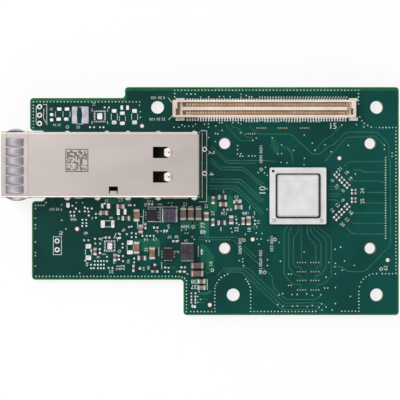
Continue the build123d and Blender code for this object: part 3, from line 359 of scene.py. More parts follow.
def oblong(x, y, length, width, turn=0):
    """The corners of a turned rectangle, anticlockwise."""
    cosine, sine = math.cos(math.radians(turn)), math.sin(math.radians(turn))
    corners = []
    for across, up in ((-1, -1), (1, -1), (1, 1), (-1, 1)):
        dx, dy = across * length / 2, up * width / 2
        corners.append((x + dx * cosine - dy * sine, y + dx * sine + dy * cosine))
    return corners


def printed_oblong(px, py, length, width):
    """The corners of an upright rectangle that is given in pixels."""
    return oblong(*at(px, py), length / PIXELS_PER_MM, width / PIXELS_PER_MM)


def bend(before, here, after, reach, steps=CORNER_STEPS):
    """The points of a rounded corner, which starts and ends a length away from it."""
    here = Vector(here)
    back, ahead = Vector(before) - here, Vector(after) - here
    cut = min(reach, CORNER_SHARE * back.length, CORNER_SHARE * ahead.length)
    start, end = here + back.normalized() * cut, here + ahead.normalized() * cut
    points = []
    for step in range(steps + 1):
        share = step / steps
        point = start * (1 - share) ** 2 + here * 2 * share * (1 - share) + end * share ** 2
        points.append((point.x, point.y))
    return points


def rounded(outline, radius, steps=CORNER_STEPS):
    """A closed outline with its corners rounded."""
    points = []
    for index, corner in enumerate(outline):
        after = outline[(index + 1) % len(outline)]
        points += bend(outline[index - 1], corner, after, radius, steps)
    return points


def smoothed(path):
    """An open path with its turns rounded."""
    points = [path[0]]
    for before, here, after in zip(path, path[1:], path[2:]):
        points += bend(before, here, after, TURN_REACH)
    return points + [path[-1]]


def sides_of(path, index):
    """The unit normal at a point of a path, and how far a mitre reaches there."""
    here = Vector(path[index])
    into = here - Vector(path[max(index - 1, 0)])
    out = Vector(path[min(index + 1, len(path) - 1)]) - here
    into = into.normalized() if into.length else out.normalized()
    out = out.normalized() if out.length else into
    along = (into + out).normalized()
    return Vector((-along.y, along.x)), 1 / max(along.dot(into), MITRE_LEAST)


class Solids:
    """Many small closed solids gathered into one mesh, in millimetres."""

    def __init__(self):
        self.points = []
        self.faces = []

    def loft(self, rings, loop=False):
        """Skins rings of points in order, with caps at both ends or closed into a loop."""
        first = len(self.points)
        count = len(rings[0])
        for ring in rings:
            self.points.extend(ring)
        for step in range(len(rings) if loop else len(rings) - 1):
            low = first + step * count
            high = first + (step + 1) % len(rings) * count
            for here in range(count):
                after = (here + 1) % count
                self.faces.append((low + here, low + after, high + after, high + here))
        if not loop:
            last = len(self.points) - count
            self.faces.append(tuple(range(first + count - 1, first - 1, -1)))
            self.faces.append(tuple(range(last, last + count)))

    def slab(self, outline, low, high, bevel=0.0):
        """A flat plate over an outline, with its upper edge bevelled towards its middle."""
        if not bevel:
            self.loft([[(x, y, z) for x, y in outline] for z in (low, high)])
            return
        middle_x = sum(x for x, _ in outline) / len(outline)
        middle_y = sum(y for _, y in outline) / len(outline)
        rings = []
        for climb, inward in BEVEL_PROFILE:
            z, inset = low + climb * (high - low), inward * bevel
            ring = []
            for x, y in outline:
                dx, dy = x - middle_x, y - middle_y
                keep = 1 - inset / max(math.hypot(dx, dy), inset * BEVEL_ROOM + TINY)
                ring.append((middle_x + dx * keep, middle_y + dy * keep, z))
            rings.append(ring)
        self.loft(rings)

    def disc(self, x, y, radius, low, high, bevel=0.0, sides=DISC_SIDES):
        """A round plate."""
        self.slab(circle(x, y, radius, sides), low, high, bevel)

    def band(self, outer, inner, low, high):
        """A flat frame between two outlines with as many points each."""
        rings = []
        for outline, z in ((outer, low), (outer, high), (inner, high), (inner, low)):
            rings.append([(x, y, z) for x, y in outline])
        self.loft(rings, loop=True)

    def washer(self, x, y, outer, inner, low, high, sides=RING_SIDES):
        """A flat ring."""
        self.band(circle(x, y, outer, sides), circle(x, y, inner, sides), low, high)

    def ribbon(self, path, width, low, high):
        """A flat strip of one width along a path."""
        rings = []
        for index, (x, y) in enumerate(path):
            normal, reach = sides_of(path, index)
            across = normal * width / 2 * reach
            left, right = (x + across.x, y + across.y), (x - across.x, y - across.y)
            rings.append([(*right, low), (*left, low), (*left, high), (*right, high)])
        self.loft(rings)

    def strip(self, path, middle_x, width):
        """A bent contact: a path in the YZ plane, thickened and swept along X."""
        rings = []
        low_x, high_x = middle_x - width / 2, middle_x + width / 2
        for index, (y, z) in enumerate(path):
            out = sides_of(path, index)[0] * CONTACT_SHEET / 2
            rings.append([
                (low_x, y - out.x, z - out.y), (high_x, y - out.x, z - out.y),
                (high_x, y + out.x, z + out.y), (low_x, y + out.x, z + out.y),
            ])
        self.loft(rings)


def placed(name, data):
    """A new object in the scene."""
    thing = bpy.data.objects.new(name, data)
    bpy.context.scene.collection.objects.link(thing)
    return thing


def finished(name, mesh, material, smooth=False):
    """Turns a mesh's faces outwards, gives it its material and lets it ride on the card."""
    work = bmesh.new()
    work.from_mesh(mesh)
    bmesh.ops.recalc_face_normals(work, faces=work.faces)
    work.to_mesh(mesh)
    work.free()
    if smooth:
        mesh.shade_smooth()
    mesh.materials.append(MATERIALS[material])
    made = placed(name, mesh)
    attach(made, "root")
    return made


def piece(name, solids, material, smooth=False):
    """Makes a mesh of the solids, in its material, riding on the card."""
    mesh = bpy.data.meshes.new(name)
    mesh.from_pydata([(x * MM, y * MM, z * MM) for x, y, z in solids.points], [], solids.faces)
    return finished(name, mesh, material, smooth)


def filled_mesh(curve):
    """The closed mesh of an extruded flat curve or text, with its doubled corners joined."""
    holder = placed(curve.name, curve)
    bpy.context.view_layer.update()
    graph = bpy.context.evaluated_depsgraph_get()
    mesh = bpy.data.meshes.new_from_object(holder.evaluated_get(graph))
    bpy.data.objects.remove(holder)
    work = bmesh.new()
    work.from_mesh(mesh)
    bmesh.ops.remove_doubles(work, verts=work.verts, dist=WELD_DISTANCE)
    work.to_mesh(mesh)
    work.free()
    mesh.materials.clear()
    return mesh


def plate(name, outlines, low, high, material):
    """A closed flat plate whose first outline is its edge and the others its holes."""
    curve = bpy.data.curves.new(name, "CURVE")
    curve.dimensions = "2D"
    curve.fill_mode = "BOTH"
    curve.extrude = (high - low) / 2
    for outline in outlines:
        spline = curve.splines.new("POLY")
        spline.points.add(len(outline) - 1)
        for point, (x, y) in zip(spline.points, outline):
            point.co = (x, y, 0, 1)
        spline.use_cyclic_u = True
    mesh = filled_mesh(curve)
    mesh.transform(Matrix.Scale(MM, 4) @ Matrix.Translation((0, 0, (low + high) / 2)))
    return finished(name, mesh, material)


# How tall a numeral is, as a share of its text's size
CAP_SHARE = 0.7


def numerals(name, entries, low, high, material):
    """Plain numbers printed flat: each entry is x, y, the number, its height and its turn."""
    work = bmesh.new()
    for x, y, text, height, turn in entries:
        curve = bpy.data.curves.new(name, "FONT")
        curve.body = text
        curve.align_x, curve.align_y = "CENTER", "CENTER"
        curve.resolution_u = 2
        size = height / CAP_SHARE
        curve.extrude = (high - low) / 2 / size
        mesh = filled_mesh(curve)
        place = Matrix.Translation((x * MM, y * MM, (low + high) / 2 * MM))
        mesh.transform(place @ Matrix.Rotation(math.radians(turn), 4, "Z") @ Matrix.Scale(size * MM, 4))
        work.from_mesh(mesh)
        bpy.data.meshes.remove(mesh)
    mesh = bpy.data.meshes.new(name)
    work.to_mesh(mesh)
    work.free()
    return finished(name, mesh, material)


def parts_of(node):
    """The separate solids of a CAD node, each as its corner points in millimetres."""
    mesh = frame["nodes"][node].data
    keys, owner = {}, []
    for vertex in mesh.vertices:
        key = tuple(round(value / MM, 3) for value in vertex.co)
        owner.append(keys.setdefault(key, len(keys)))
    parent = list(range(len(keys)))

    def root(index):
        while parent[index] != index:
            parent[index] = parent[parent[index]]
            index = parent[index]
        return index

    for polygon in mesh.polygons:
        first = root(owner[polygon.vertices[0]])
        for vertex in polygon.vertices[1:]:
            parent[root(owner[vertex])] = first
    groups = {}
    for key, index in keys.items():
        groups.setdefault(root(index), []).append(key)
    return list(groups.values())


def bounds_of(points):
    """The middle of a set of points and its length and width, seen from above."""
    xs, ys = [point[0] for point in points], [point[1] for point in points]
    middle = Vector(((min(xs) + max(xs)) / 2, (min(ys) + max(ys)) / 2))
    return middle, max(xs) - min(xs), max(ys) - min(ys)


# Copper plane under the mask, inside a bare border and round the holes
SIDE_BORDER = 0.45
TOP_BORDER = 1.05
OUTLINE_RADIUS = 0.9
HOLE_SIDES = 32
PLANE_UNDER = -0.012
OUTLINE = (
    (UPPER_TAB_FRONT + SIDE_BORDER, UPPER_TAB_FOOT),
    (UPPER_TAB_FRONT + SIDE_BORDER, UPPER_TAB_EDGE - TOP_BORDER),
    (UPPER_STEP + SIDE_BORDER, UPPER_TAB_EDGE - TOP_BORDER),
    (UPPER_STEP + SIDE_BORDER, BOARD_HALF_WIDTH - TOP_BORDER),
    (BOARD_REAR - SIDE_BORDER, BOARD_HALF_WIDTH - TOP_BORDER),
    (BOARD_REAR - SIDE_BORDER, SIDE_BORDER - BOARD_HALF_WIDTH),
    (LOWER_STEP + SIDE_BORDER, SIDE_BORDER - BOARD_HALF_WIDTH),
    (LOWER_STEP + SIDE_BORDER, LOWER_TAB_EDGE + SIDE_BORDER),
    (LOWER_TAB_FRONT + SIDE_BORDER, LOWER_TAB_EDGE + SIDE_BORDER),
    (LOWER_TAB_FRONT + SIDE_BORDER, -SIDE_BORDER), (RECESS_MOUTH, -SIDE_BORDER),
    (RECESS_REAR, RECESS_LOW_Y), (RECESS_REAR, RECESS_HIGH_Y), (RECESS_MOUTH, UPPER_TAB_FOOT),
)
MOUNTING_HOLES = ((0.0, 28.0), (0.0, -28.0), (-65.4, 28.0), (-42.8, -28.0))
SINK_HOLES = ((-45.35, 17.2), (-45.35, -14.1), (-1.95, 17.2), (-1.95, -14.1))
SMALL_HOLES = (
    (-100.6, 23.15), (-100.6, 25.65), (-100.6, 28.15), (-95.35, -14.5), (-95.35, -11.9),
    (-51.35, 15.45), (-51.35, 8.25),
)
HALF_SHEET = 0.125
LOWER_PINS = tuple((CAGE_REAR - back, CAGE_LOW_Y + HALF_SHEET) for back in (1.7, 12.5, 21.5, 30.6, 39.6))
UPPER_PINS = tuple((CAGE_REAR - back, CAGE_HIGH_Y - HALF_SHEET) for back in (1.7, 12.5, 21.5, 27.8, 39.6))
CLEARANCES = (
    (MOUNTING_HOLES, 2.0), (SINK_HOLES, 1.72), (SMALL_HOLES, 0.78),
    (LOWER_PINS + UPPER_PINS, 0.62),
)


def copper_planes():
    """The large copper areas of both faces, seen through the mask."""
    outlines = [rounded(OUTLINE, OUTLINE_RADIUS)]
    for places, radius in CLEARANCES:
        outlines += [circle(x, y, radius, HOLE_SIDES) for x, y in places]
    plate("copper_plane", outlines, BOARD_TOP, POUR_TOP, "pour")
    plate("copper_plane_under", outlines, PLANE_UNDER, 0.0, "pour")


# Brighter copper fields, outlined in pixels
FIELDS = (
    ((200.3, 243.6), (206, 245.5), (214.3, 256.8), (214.3, 270), (206, 276), (206, 262), (200, 262)),
    ((180.6, 221.5), (203, 221.5), (203, 229), (181, 229)),
    ((203, 210), (209, 210), (209, 240), (203, 236)),
    ((208, 196), (217, 196), (217, 212), (208, 212)),
    ((228, 196), (233, 196), (233, 212), (228, 212)),
    ((134, 239), (160, 239), (160, 246), (150, 252), (134, 250)),
    ((270.9, 139.3), (272.4, 137.4), (278.7, 143.6), (278.7, 154.6), (277.3, 155.1), (271.2, 148.4)),
    ((251.3, 225.3), (257.7, 225.3), (257.7, 230), (251.3, 229)),
    ((106, 198.5), (131, 198.5), (131, 204), (106, 204)),
)
FIELD_STRIPS = (
    ((281.6, 147.4), (286.8, 147.4), (292.1, 153.2), (292.6, 164.2)),
    ((198.7, 293.5), (207.9, 293.5), (211.0, 290.5)),
)
FIELD_RADIUS = 0.4
FIELD_STRIP_WIDTH = 0.75


def copper_fields():
    """Copper near the surface, a brighter green under the mask."""
    fields = Solids()
    for corners in FIELDS:
        outline = rounded([at(*corner) for corner in corners], FIELD_RADIUS)
        fields.slab(outline, BOARD_TOP, PATCH_TOP)
    for path in FIELD_STRIPS:
        middle = smoothed([at(*point) for point in path])
        fields.ribbon(middle, FIELD_STRIP_WIDTH, BOARD_TOP, PATCH_TOP)
    piece("copper_fields", fields, "patch")


# Traces, each a path from pixel to pixel
TRACE_WIDTH = 0.26
TRACES = (
    ((287.8, 225.8), (284, 230.6), (284, 274.1), (292.1, 284.2), (299.7, 284.2), (301.2, 288)),
    ((292.1, 226.3), (288.7, 232), (288.7, 267.4), (295.9, 275.6), (300.7, 275.6), (301.2, 278.9)),
    ((298.3, 225.8), (297.8, 232.5), (293.5, 237.3), (293.5, 265.1), (295.9, 267), (300.7, 267),
     (301.2, 270.3)),
    ((301.2, 225.4), (301.5, 261.2)),
    ((307.4, 225.4), (307.2, 235.4), (315.5, 245), (316, 261.2)),
    ((310.5, 225.8), (310.5, 231.6), (320.8, 242.1), (321, 266), (317, 266.2), (316, 270.3)),
    ((313.6, 225.8), (314.1, 228.7), (326.1, 240.2), (326.1, 268.4), (319.8, 275.1), (316, 275.6),
     (315.2, 279.4)),
    ((317, 226.3), (331.3, 238.3), (331.3, 276.5), (324.1, 284.2), (317, 284.4), (315.5, 287.5)),
    ((233, 240), (255.7, 261.2), (272.5, 276.5), (272.5, 286.1), (285.4, 299.5), (316, 299.5),
     (320.3, 295.7)),
    ((222.6, 268), (248.2, 268), (284.4, 303.1), (321.3, 302.8), (326.5, 306.2)),
    ((225, 272), (242, 272), (281.6, 309.5), (320.3, 309.2)),
    ((217.8, 275), (222.5, 270), (245, 270), (282.4, 306), (311.2, 306), (317.9, 306)),
    ((335.1, 266.7), (342.3, 266.7), (347.1, 271.6), (364.8, 271.6), (390.6, 245), (390.1, 160.4),
     (388.7, 158.4), (388.7, 143.6), (376.8, 132.1), (346.1, 132.1), (333.2, 145.1), (327.5, 147),
     (320.3, 154.1), (312.2, 154.1), (291.1, 134.1), (257.3, 134.1), (249.3, 126)),
    ((384.4, 145.5), (374.8, 135.5), (364.3, 137.2), (346.6, 137.1), (324.6, 161.8)),
    ((341.8, 125), (329.4, 137.4), (324.6, 139.3), (315.1, 150.3)),
    ((384.4, 161.6), (348.5, 161.6), (343.8, 166.6)),
    ((384.4, 172), (363.8, 172), (360, 169.9), (352.8, 169.9)),
    ((384.4, 182.6), (379.1, 180.9), (352.8, 180.9)), ((384.4, 192.4), (366.7, 192.4)),
    ((384.4, 202.9), (364.8, 202.9)), ((384.4, 212.9), (354.3, 212.9)),
    ((384.4, 223.4), (353.3, 223.4), (351.4, 221.5)), ((384, 234), (352.8, 234), (346.1, 227.3)),
    ((328, 186.2), (338, 186.2)), ((328, 189.1), (340.9, 189.1)), ((328, 193.8), (341, 193.8)),
    ((328, 196.2), (340, 196.2)), ((328, 199.8), (336, 199.8), (340, 203)),
    ((225.6, 124.6), (230.5, 130), (239.5, 140.7), (252, 140.7)),
    ((230.5, 123.8), (233.2, 127.3), (237.7, 127.8), (241.3, 131.3), (245.7, 137.1), (252.9, 138)),
    ((212, 146), (226, 159.5), (229, 160.6), (269, 160.6), (276, 161.8)),
    ((210, 147.5), (226.5, 162.3), (230, 163.2), (256, 163.2)),
    ((210.5, 158), (219, 166.4), (222.5, 167.1), (243.5, 167.4), (247.7, 170.6), (260.4, 182.5), (264, 183)),
    ((210, 161), (219.5, 169.4), (243, 170), (247, 173), (259, 184.5), (263, 185.3)),
    ((210.5, 179), (240, 179.4), (243.5, 181.8), (261, 198.7), (264, 199.7)),
    ((210.5, 181.8), (239.3, 182.2), (242, 184.6), (259.6, 200.8), (263, 201.8)),
    ((209, 186), (233.7, 186), (239.3, 188.9), (249, 198.7), (263.9, 213.4)),
    ((209, 188.5), (231.6, 188.5), (237.9, 191.7), (262, 215)),
    ((197.9, 237.3), (237, 237.3)), ((197.9, 239.7), (231, 239.7)),
    ((244.2, 246), (256, 257.5)), ((198.7, 299.3), (207.9, 299.3)), ((199, 302.4), (205, 302.4)),
    ((161.6, 267.4), (176, 267.4)), ((61.7, 220.3), (64, 220.3)),
)


def traces():
    """Fine conductors under the mask."""
    lines = Solids()
    for path in TRACES:
        lines.ribbon(smoothed([at(*point) for point in path]), TRACE_WIDTH, BOARD_TOP, TRACE_TOP)
    piece("traces", lines, "trace")


# Vias: fences along the edges as runs from pixel to pixel, rows and single ones
VIA_RADIUS = 0.225
FENCE_RUNS = (
    ((33.4, 101.9), (139.7, 101.9), 3.42), ((33.4, 105.3), (33.4, 127.6), 3.42),
    ((174.7, 90.3), (358.5, 90.3), 3.43), ((174.7, 93.6), (174.7, 97.0), 3.42),
    ((358.5, 93.6), (358.5, 103.9), 3.42), ((376.3, 127.6), (396.0, 127.6), 3.4),
    ((395.9, 131.0), (395.9, 273.0), 3.44), ((382.2, 273.6), (396.1, 273.6), 3.47),
    ((358.9, 291.4), (358.9, 311.3), 3.46), ((341.8, 311.3), (355.5, 311.3), 3.44),
    ((250.7, 311.5), (316.0, 311.5), 3.44), ((250.7, 294.3), (250.7, 308.1), 3.44),
    ((214.8, 288.3), (214.8, 308.4), 3.4), ((190.7, 311.6), (215.0, 311.6), 3.45),
    ((186.5, 280.7), (186.5, 311.6), 3.44), ((36.0, 276.4), (175.7, 276.4), 3.44),
    ((35.7, 205.3), (43.9, 205.3), 2.75), ((385.6, 157.5), (385.6, 238.3), 2.55),
)
CURVED_FENCES = (
    ((376.3, 127.6), (371.3, 127.1), (367.7, 125.4), (364.3, 123.3), (361.9, 120.6), (359.8, 116.8)),
    ((182.0, 277.2), (184.6, 278.3), (178.9, 276.5)),
    ((215.6, 285.5), (217.0, 282.9), (219.0, 279.7), (221.4, 277.4), (224.5, 275.5), (227.6, 274.2)),
    ((245.8, 279.1), (247.6, 281.4), (248.9, 283.9), (250.1, 287.1), (250.5, 290.9)),
    ((359.4, 286.6), (361, 282.1), (363.4, 279.2), (366, 276.8), (369.3, 275.1), (372.8, 273.7),
     (376.6, 273.5)),
)
LONE_VIAS = (
    (139.4, 105.3), (140.3, 111.7), (140.3, 117.4), (174, 127.3), (178.9, 127.3), (181.9, 124.9),
    (184.7, 126.3), (188.8, 126.3), (193, 126.3), (195.5, 124.2), (204.6, 124.2), (208.5, 123.8),
    (208.5, 127.1), (215.8, 126), (222.1, 130.4), (208.7, 137.4), (215.4, 141.6), (215.5, 133.6),
    (217.9, 133.8), (240.6, 132.9), (252.9, 140.3), (256.4, 138.2), (237.7, 145.6), (237.5, 149.6),
    (237.5, 153.9), (241.1, 153.9), (240.1, 156.2), (242.8, 156.2), (248.7, 155.9), (252.1, 155.9),
    (255.1, 155.9), (293.7, 150.3), (281.7, 145), (281.7, 153.5), (277.9, 153.9), (272.3, 137.9),
    (304.3, 135), (312.3, 143.1), (325.1, 144.9), (314.9, 150.3), (331.3, 151.7), (348.2, 145.4),
    (304.5, 158.3), (304, 164.9), (280.9, 162.5), (287, 162.9), (384.4, 145.3), (384.4, 149.4),
    (392.1, 153), (392.1, 156.2), (355.4, 174), (341.8, 125), (356.4, 124.5), (363.8, 126.9),
    (258.1, 172.6), (264.5, 173), (265.5, 167.3), (267.2, 175.4), (267, 188.9), (219.4, 122.7),
    (222, 122.7), (232.8, 122.7), (238.3, 122.7), (241.1, 123.8), (200.6, 97.1), (208.7, 97.1),
    (219.6, 96.7), (223.8, 96.7), (230.1, 96.7), (241.1, 94.3), (241.1, 97.1), (246.2, 95.6),
    (249.3, 97), (251.8, 97), (304.1, 252.1), (280.6, 261.2), (335.1, 249.3), (340.6, 247.1),
    (344.5, 260.9), (335.4, 263.4), (334.7, 266.7), (342.3, 270), (354.3, 265.4), (335.4, 273.8),
    (326.1, 277.2), (335.4, 287.5), (324.6, 288), (327.8, 288), (350.4, 296.4), (335.4, 303.6),
    (288.6, 274.1), (291.3, 274.1), (288.6, 285.4), (291.3, 285.4), (278.9, 295), (282.7, 293.6),
    (292.1, 294.5), (297.2, 294.5), (306.6, 293.8), (312.4, 295.3), (320.8, 294.7), (277.7, 304.6),
    (282.7, 306.5), (292.6, 306), (297.2, 306), (307.1, 306.5), (312.4, 305.5), (319.1, 307.1),
    (321.6, 303.8), (326.1, 307.1), (322, 310), (332.3, 310), (328.9, 262.4), (267.2, 209.4),
    (279.2, 242.4), (267.5, 259.8), (267.5, 265.5), (268.2, 240.3), (257.2, 239), (261.2, 239),
    (256.3, 233), (262, 233.4), (258.9, 244.3), (242.7, 258.8), (239.2, 260.6), (242.6, 261.8),
    (243.5, 265.6), (245.4, 234.3), (231, 228.3), (232, 232.1), (235.8, 216.4), (239.2, 224.7),
    (253.3, 217.2), (256.8, 226.7), (181.6, 230.2), (186, 229.7), (185.2, 233.1), (187.7, 233.1),
    (192.3, 236.9), (194.2, 239.4), (206.3, 241), (209.3, 241.2), (171.6, 203), (171.6, 205.8),
    (198.9, 291.5), (197.9, 296.4), (200.5, 299.3), (197.9, 302.4), (176.8, 271.7), (187.5, 273.9),
    (180.8, 267.4), (35.4, 208.6), (35.4, 218.1), (35.4, 224.8), (35.4, 228.3), (35.4, 241.9),
    (35.4, 252.5), (35.4, 255.7), (35.4, 266), (61.7, 220.3), (65.9, 228.8), (46, 202.6), (76.4, 202.6),
    (82.7, 202.8), (61.7, 204.8), (79.6, 273.2), (155.6, 230.7), (161, 231), (168.5, 202.8), (172, 202.8),
)
VIA_ROWS = (
    (259.6, 97.2, 33, 2.72), (246.2, 121.7, 5, 2.78), (264.9, 121.7, 6, 2.78),
    (286.0, 121.7, 6, 2.8), (308.3, 121.7, 5, 2.8), (186.8, 94.1, 3, 4.2),
)
GOLD_ROWS = (
    (256.9, 128.0, 5, 2.12), (278.3, 128.0, 5, 2.12), (300.5, 128.0, 5, 2.0), (246.2, 133.8, 5, 2.1),
    *((x, y, 4, 2.63) for y in (262.5, 271.7, 280.4, 289.9) for x in (297.6, 311)),
)
VIA_UNDER = -0.03
VIA_BEVEL, VIA_SIDES = 0.08, 10
ARRAY_VIA_RADIUS, ARRAY_VIA_BEVEL, ARRAY_VIA_SIDES = 0.22, 0.05, 8


def via_places():
    """Every via as a place in millimetres."""
    pixels = list(LONE_VIAS)
    for (x0, y0), (x1, y1), step in FENCE_RUNS:
        count = max(round(math.hypot(x1 - x0, y1 - y0) / step), 1)
        for index in range(count + 1):
            share = index / count
            pixels.append((x0 + share * (x1 - x0), y0 + share * (y1 - y0)))
    for run in CURVED_FENCES:
        pixels.extend(run)
    for x, y, count, step in VIA_ROWS:
        pixels.extend((x + step * index, y) for index in range(count))
    return [at(x, y) for x, y in pixels]


def vias():
    """Filled vias on both faces, and the fine gold ones of the array."""
    above, below, fine = Solids(), Solids(), Solids()
    for x, y in via_places():
        above.disc(x, y, VIA_RADIUS, BOARD_TOP, VIA_TOP, VIA_BEVEL, VIA_SIDES)
        below.disc(x, y, VIA_RADIUS, VIA_UNDER, 0.0, sides=VIA_SIDES)
    for px, py, count, step in GOLD_ROWS:
        for index in range(count):
            x, y = at(px + step * index, py)
            fine.disc(x, y, ARRAY_VIA_RADIUS, BOARD_TOP, VIA_TOP, ARRAY_VIA_BEVEL, ARRAY_VIA_SIDES)
    piece("vias", above, "via")
    piece("vias_under", below, "via")
    piece("array_vias", fine, "dull_gold")


# Holes drawn as dark discs of painted shade, and holes with a printed ring, in pixels
SHADED_HOLES = (
    (181.8, 203.4), (189.5, 205), (193.7, 205), (198.1, 205), (202.1, 205), (192.7, 222.9),
    (197.5, 222.9), (197.5, 226.9), (207.9, 270.4), (208.3, 275.1), (104.4, 229.8), (108.9, 229.8),
    (274.7, 234.9), (57.4, 203.7), (264.5, 277.9), (213, 275.1), (57.0, 229.4),
)
RINGED_HOLES = (
    (193.1, 226.9), (212.3, 270.2), (243.8, 240.1), (264.5, 272.4), (275, 239.5), (261.3, 169.4),
    (119.4, 251.3), (67.4, 127), (381.1, 269.1),
)
HOLE_SHADE_RADIUS = 0.34
TEST_RING = (0.5, 0.33)
# Dark fills inside the open small holes are painted shade
SHADE_PLUG_RADIUS, SHADE_PLUG_FOOT, SHADE_PLUG_TOP = 0.46, 0.1, BOARD_TOP - 0.05

# Rings on both faces: outer and inner radius, rise over the board and drop under it
SMALL_RING = (0.78, 0.4, 0.08, 0.05)
PIN_RING = (0.95, 0.56, 0.05, 0.05)
SINK_RING = (1.8, 1.605, 0.022, 0.02)


def ringed(solids, places, ring, sides=RING_SIDES):
    """A flat ring on both faces of the board round each place."""
    outer, inner, rise, drop = ring
    for x, y in places:
        solids.washer(x, y, outer, inner, BOARD_TOP, BOARD_TOP + rise, sides)
        solids.washer(x, y, outer, inner, -drop, 0.0, sides)


def hole_marks():
    """Painted shade for small holes, as dark discs on the board and dark fills inside the open holes, plated
    rings and the rings round test holes.
    """
    dark, rings, printed, sink = Solids(), Solids(), Solids(), Solids()
    for px, py in SHADED_HOLES:
        dark.disc(*at(px, py), HOLE_SHADE_RADIUS, BOARD_TOP, SILK_TOP)
    for px, py in RINGED_HOLES:
        printed.washer(*at(px, py), *TEST_RING, BOARD_TOP, VIA_TOP)
    for x, y in SMALL_HOLES:
        dark.disc(x, y, SHADE_PLUG_RADIUS, SHADE_PLUG_FOOT, SHADE_PLUG_TOP, sides=RING_SIDES)
    ringed(rings, SMALL_HOLES, SMALL_RING)
    ringed(rings, LOWER_PINS + UPPER_PINS, PIN_RING)
    ringed(sink, SINK_HOLES, SINK_RING, HOLE_SIDES)
    piece("painted_hole_shades", dark, "hole_shade_and_pin_mark")
    piece("plated_rings", rings, "solder")
    piece("test_rings", printed, "silk")
    piece("sink_hole_rings", sink, "bare_laminate")


# Alignment marks for the assembly machine, in millimetres
FIDUCIALS = ((-70, 22.4), (-89.4, -8.3), (-37, -11.4), (-11.1, 12.8), (3.3, -17.6), (-49.8, -30.95))
FIDUCIAL_RADIUS, FIDUCIAL_BEVEL, FIDUCIAL_SIDES = 0.54, 0.04, 20
CLEARING_RADIUS = 0.74


def fiducials():
    """Bright round marks in rings of bare laminate."""
    marks, bare = Solids(), Solids()
    for x, y in FIDUCIALS:
        marks.disc(x, y, FIDUCIAL_RADIUS, BOARD_TOP, VIA_TOP, FIDUCIAL_BEVEL, FIDUCIAL_SIDES)
        radii = (CLEARING_RADIUS, FIDUCIAL_RADIUS)
        bare.washer(x, y, *radii, BOARD_TOP, PATCH_TOP, FIDUCIAL_SIDES)
    piece("fiducials", marks, "bright_metal_and_lip_highlight")
    piece("fiducial_clearings", bare, "bare_laminate")


# Bare pads in pixels: small square ones, and oblong ones with their length and width
SMALL_PAD = 0.52
SMALL_PADS = (
    (84.8, 207.4), (84.8, 211.3), (88.6, 211.6), (88.8, 215.4), (91.8, 208.4), (87.7, 208.4),
    (95.9, 213.8), (95.9, 217.6), (82.4, 219.7), (86.2, 219.7), (82.6, 223.1), (86.4, 223.1),
    (82.2, 225.9), (86.4, 225.9), (70.4, 211.8), (74.2, 211.8), (71, 215.6), (74.2, 215.6),
    (84.1, 240.1), (88.3, 240.1), (95, 238.8), (99.8, 238.8), (95.3, 243.6), (100.1, 243.6),
    (94.7, 261), (98, 261), (101, 261), (103.9, 261), (107, 261), (91, 264.7), (94.7, 264.7),
    (97.9, 264.7), (100.9, 264.7), (103.9, 264.7), (91, 268.2), (93.7, 268.2), (98, 268.2),
    (101, 268.2), (103.9, 268.2), (107, 256.7), (108.5, 267.8), (112.4, 267.8), (123, 256), (123, 261),
    (130.7, 205.2), (134.6, 205.2), (129, 226.9), (131.7, 232.9), (131.7, 237.1),
    (136, 233.6), (136, 237.1), (142.5, 235.8), (146.7, 235.8), (150.2, 235.8), (153.7, 235.8),
    (134.2, 258.6), (134.2, 262.4), (165.2, 267.4), (168.5, 267.8), (164.9, 271.7), (168.5, 271.7),
    (152.5, 271.5), (156.5, 271.5), (201.6, 250), (201.7, 253.8), (179.4, 271.4), (185, 271.7),
    (191.4, 293.2), (191.4, 296.4), (191.4, 299.6), (191.4, 302.5), (195.4, 293.2), (195.4, 296.4),
    (195.4, 299.6), (195.4, 302.5), (223.8, 209.6), (227.5, 209.5), (231, 209.6), (236.3, 219.3),
    (236.6, 223.1), (254.9, 220.5), (254.9, 224.1), (90, 127.3), (94, 127.3), (100, 127.3),
    (103.5, 127.3), (174, 240.9), (178, 240.9), (164.2, 230.4), (167.1, 230.7), (104.6, 107.4),
    (109, 107.4), (85.5, 260.5), (104.8, 203.6), (128.6, 205.2),
    (72.5, 205.8), (75.9, 208.4), (79.4, 211.3), (118.8, 233.6), (118.6, 238), (122.6, 243.8),
    (122.6, 247.4), (115.9, 255.6), (126.8, 234.2), (91.2, 250.4), (131.5, 226.6),
)
OBLONG_PADS = (
    (59.3, 109.1, 4.6, 3.2), (67, 109.1, 4.6, 3.2), (51.7, 114.8, 3.4, 3.0), (58.7, 119.3, 4.6, 3.2),
    (66.3, 119.3, 4.6, 3.2), (51.7, 120, 3.4, 3.0), (114.2, 111, 4.8, 3.6), (121.8, 107.8, 2.6, 4.4),
    (122.4, 113.3, 4.8, 3.4), (127.6, 107.8, 2.8, 4.4), (134.6, 111, 4.8, 3.8),
    (114.2, 122.5, 4.8, 3.6), (122.4, 123.4, 4.8, 3.4), (134.6, 122.5, 4.8, 3.8),
    (102.3, 205.9, 2.6, 5.1), (108.5, 205.9, 3.5, 5.1), (118.3, 211.9, 3.2, 5.8),
    (125.1, 211.9, 2.9, 5.8), (102.8, 223.9, 4.2, 7.3), (112.7, 223.9, 3.5, 7.3),
    (130, 242.5, 6, 4.2), (130, 252.2, 6, 3.8), (68, 205, 3.6, 4.4), (88.4, 246.2, 5.6, 4.4),
    (88.4, 257.6, 5.6, 4.4), (192.3, 306, 2.0, 2.6), (194.9, 306.5, 2.0, 2.6),
    (236.9, 201.4, 2.6, 3.6), (240.2, 201.4, 2.6, 3.6),
)
WIDE_PADS = (
    ((71.9, 106.6), (77.6, 106.6), (76.8, 115.1), (77.6, 123.7), (71.9, 123.7)),
    ((81.2, 106.6), (88.6, 106.6), (88.6, 123.7), (81.2, 123.7), (82.2, 115.1)),
)

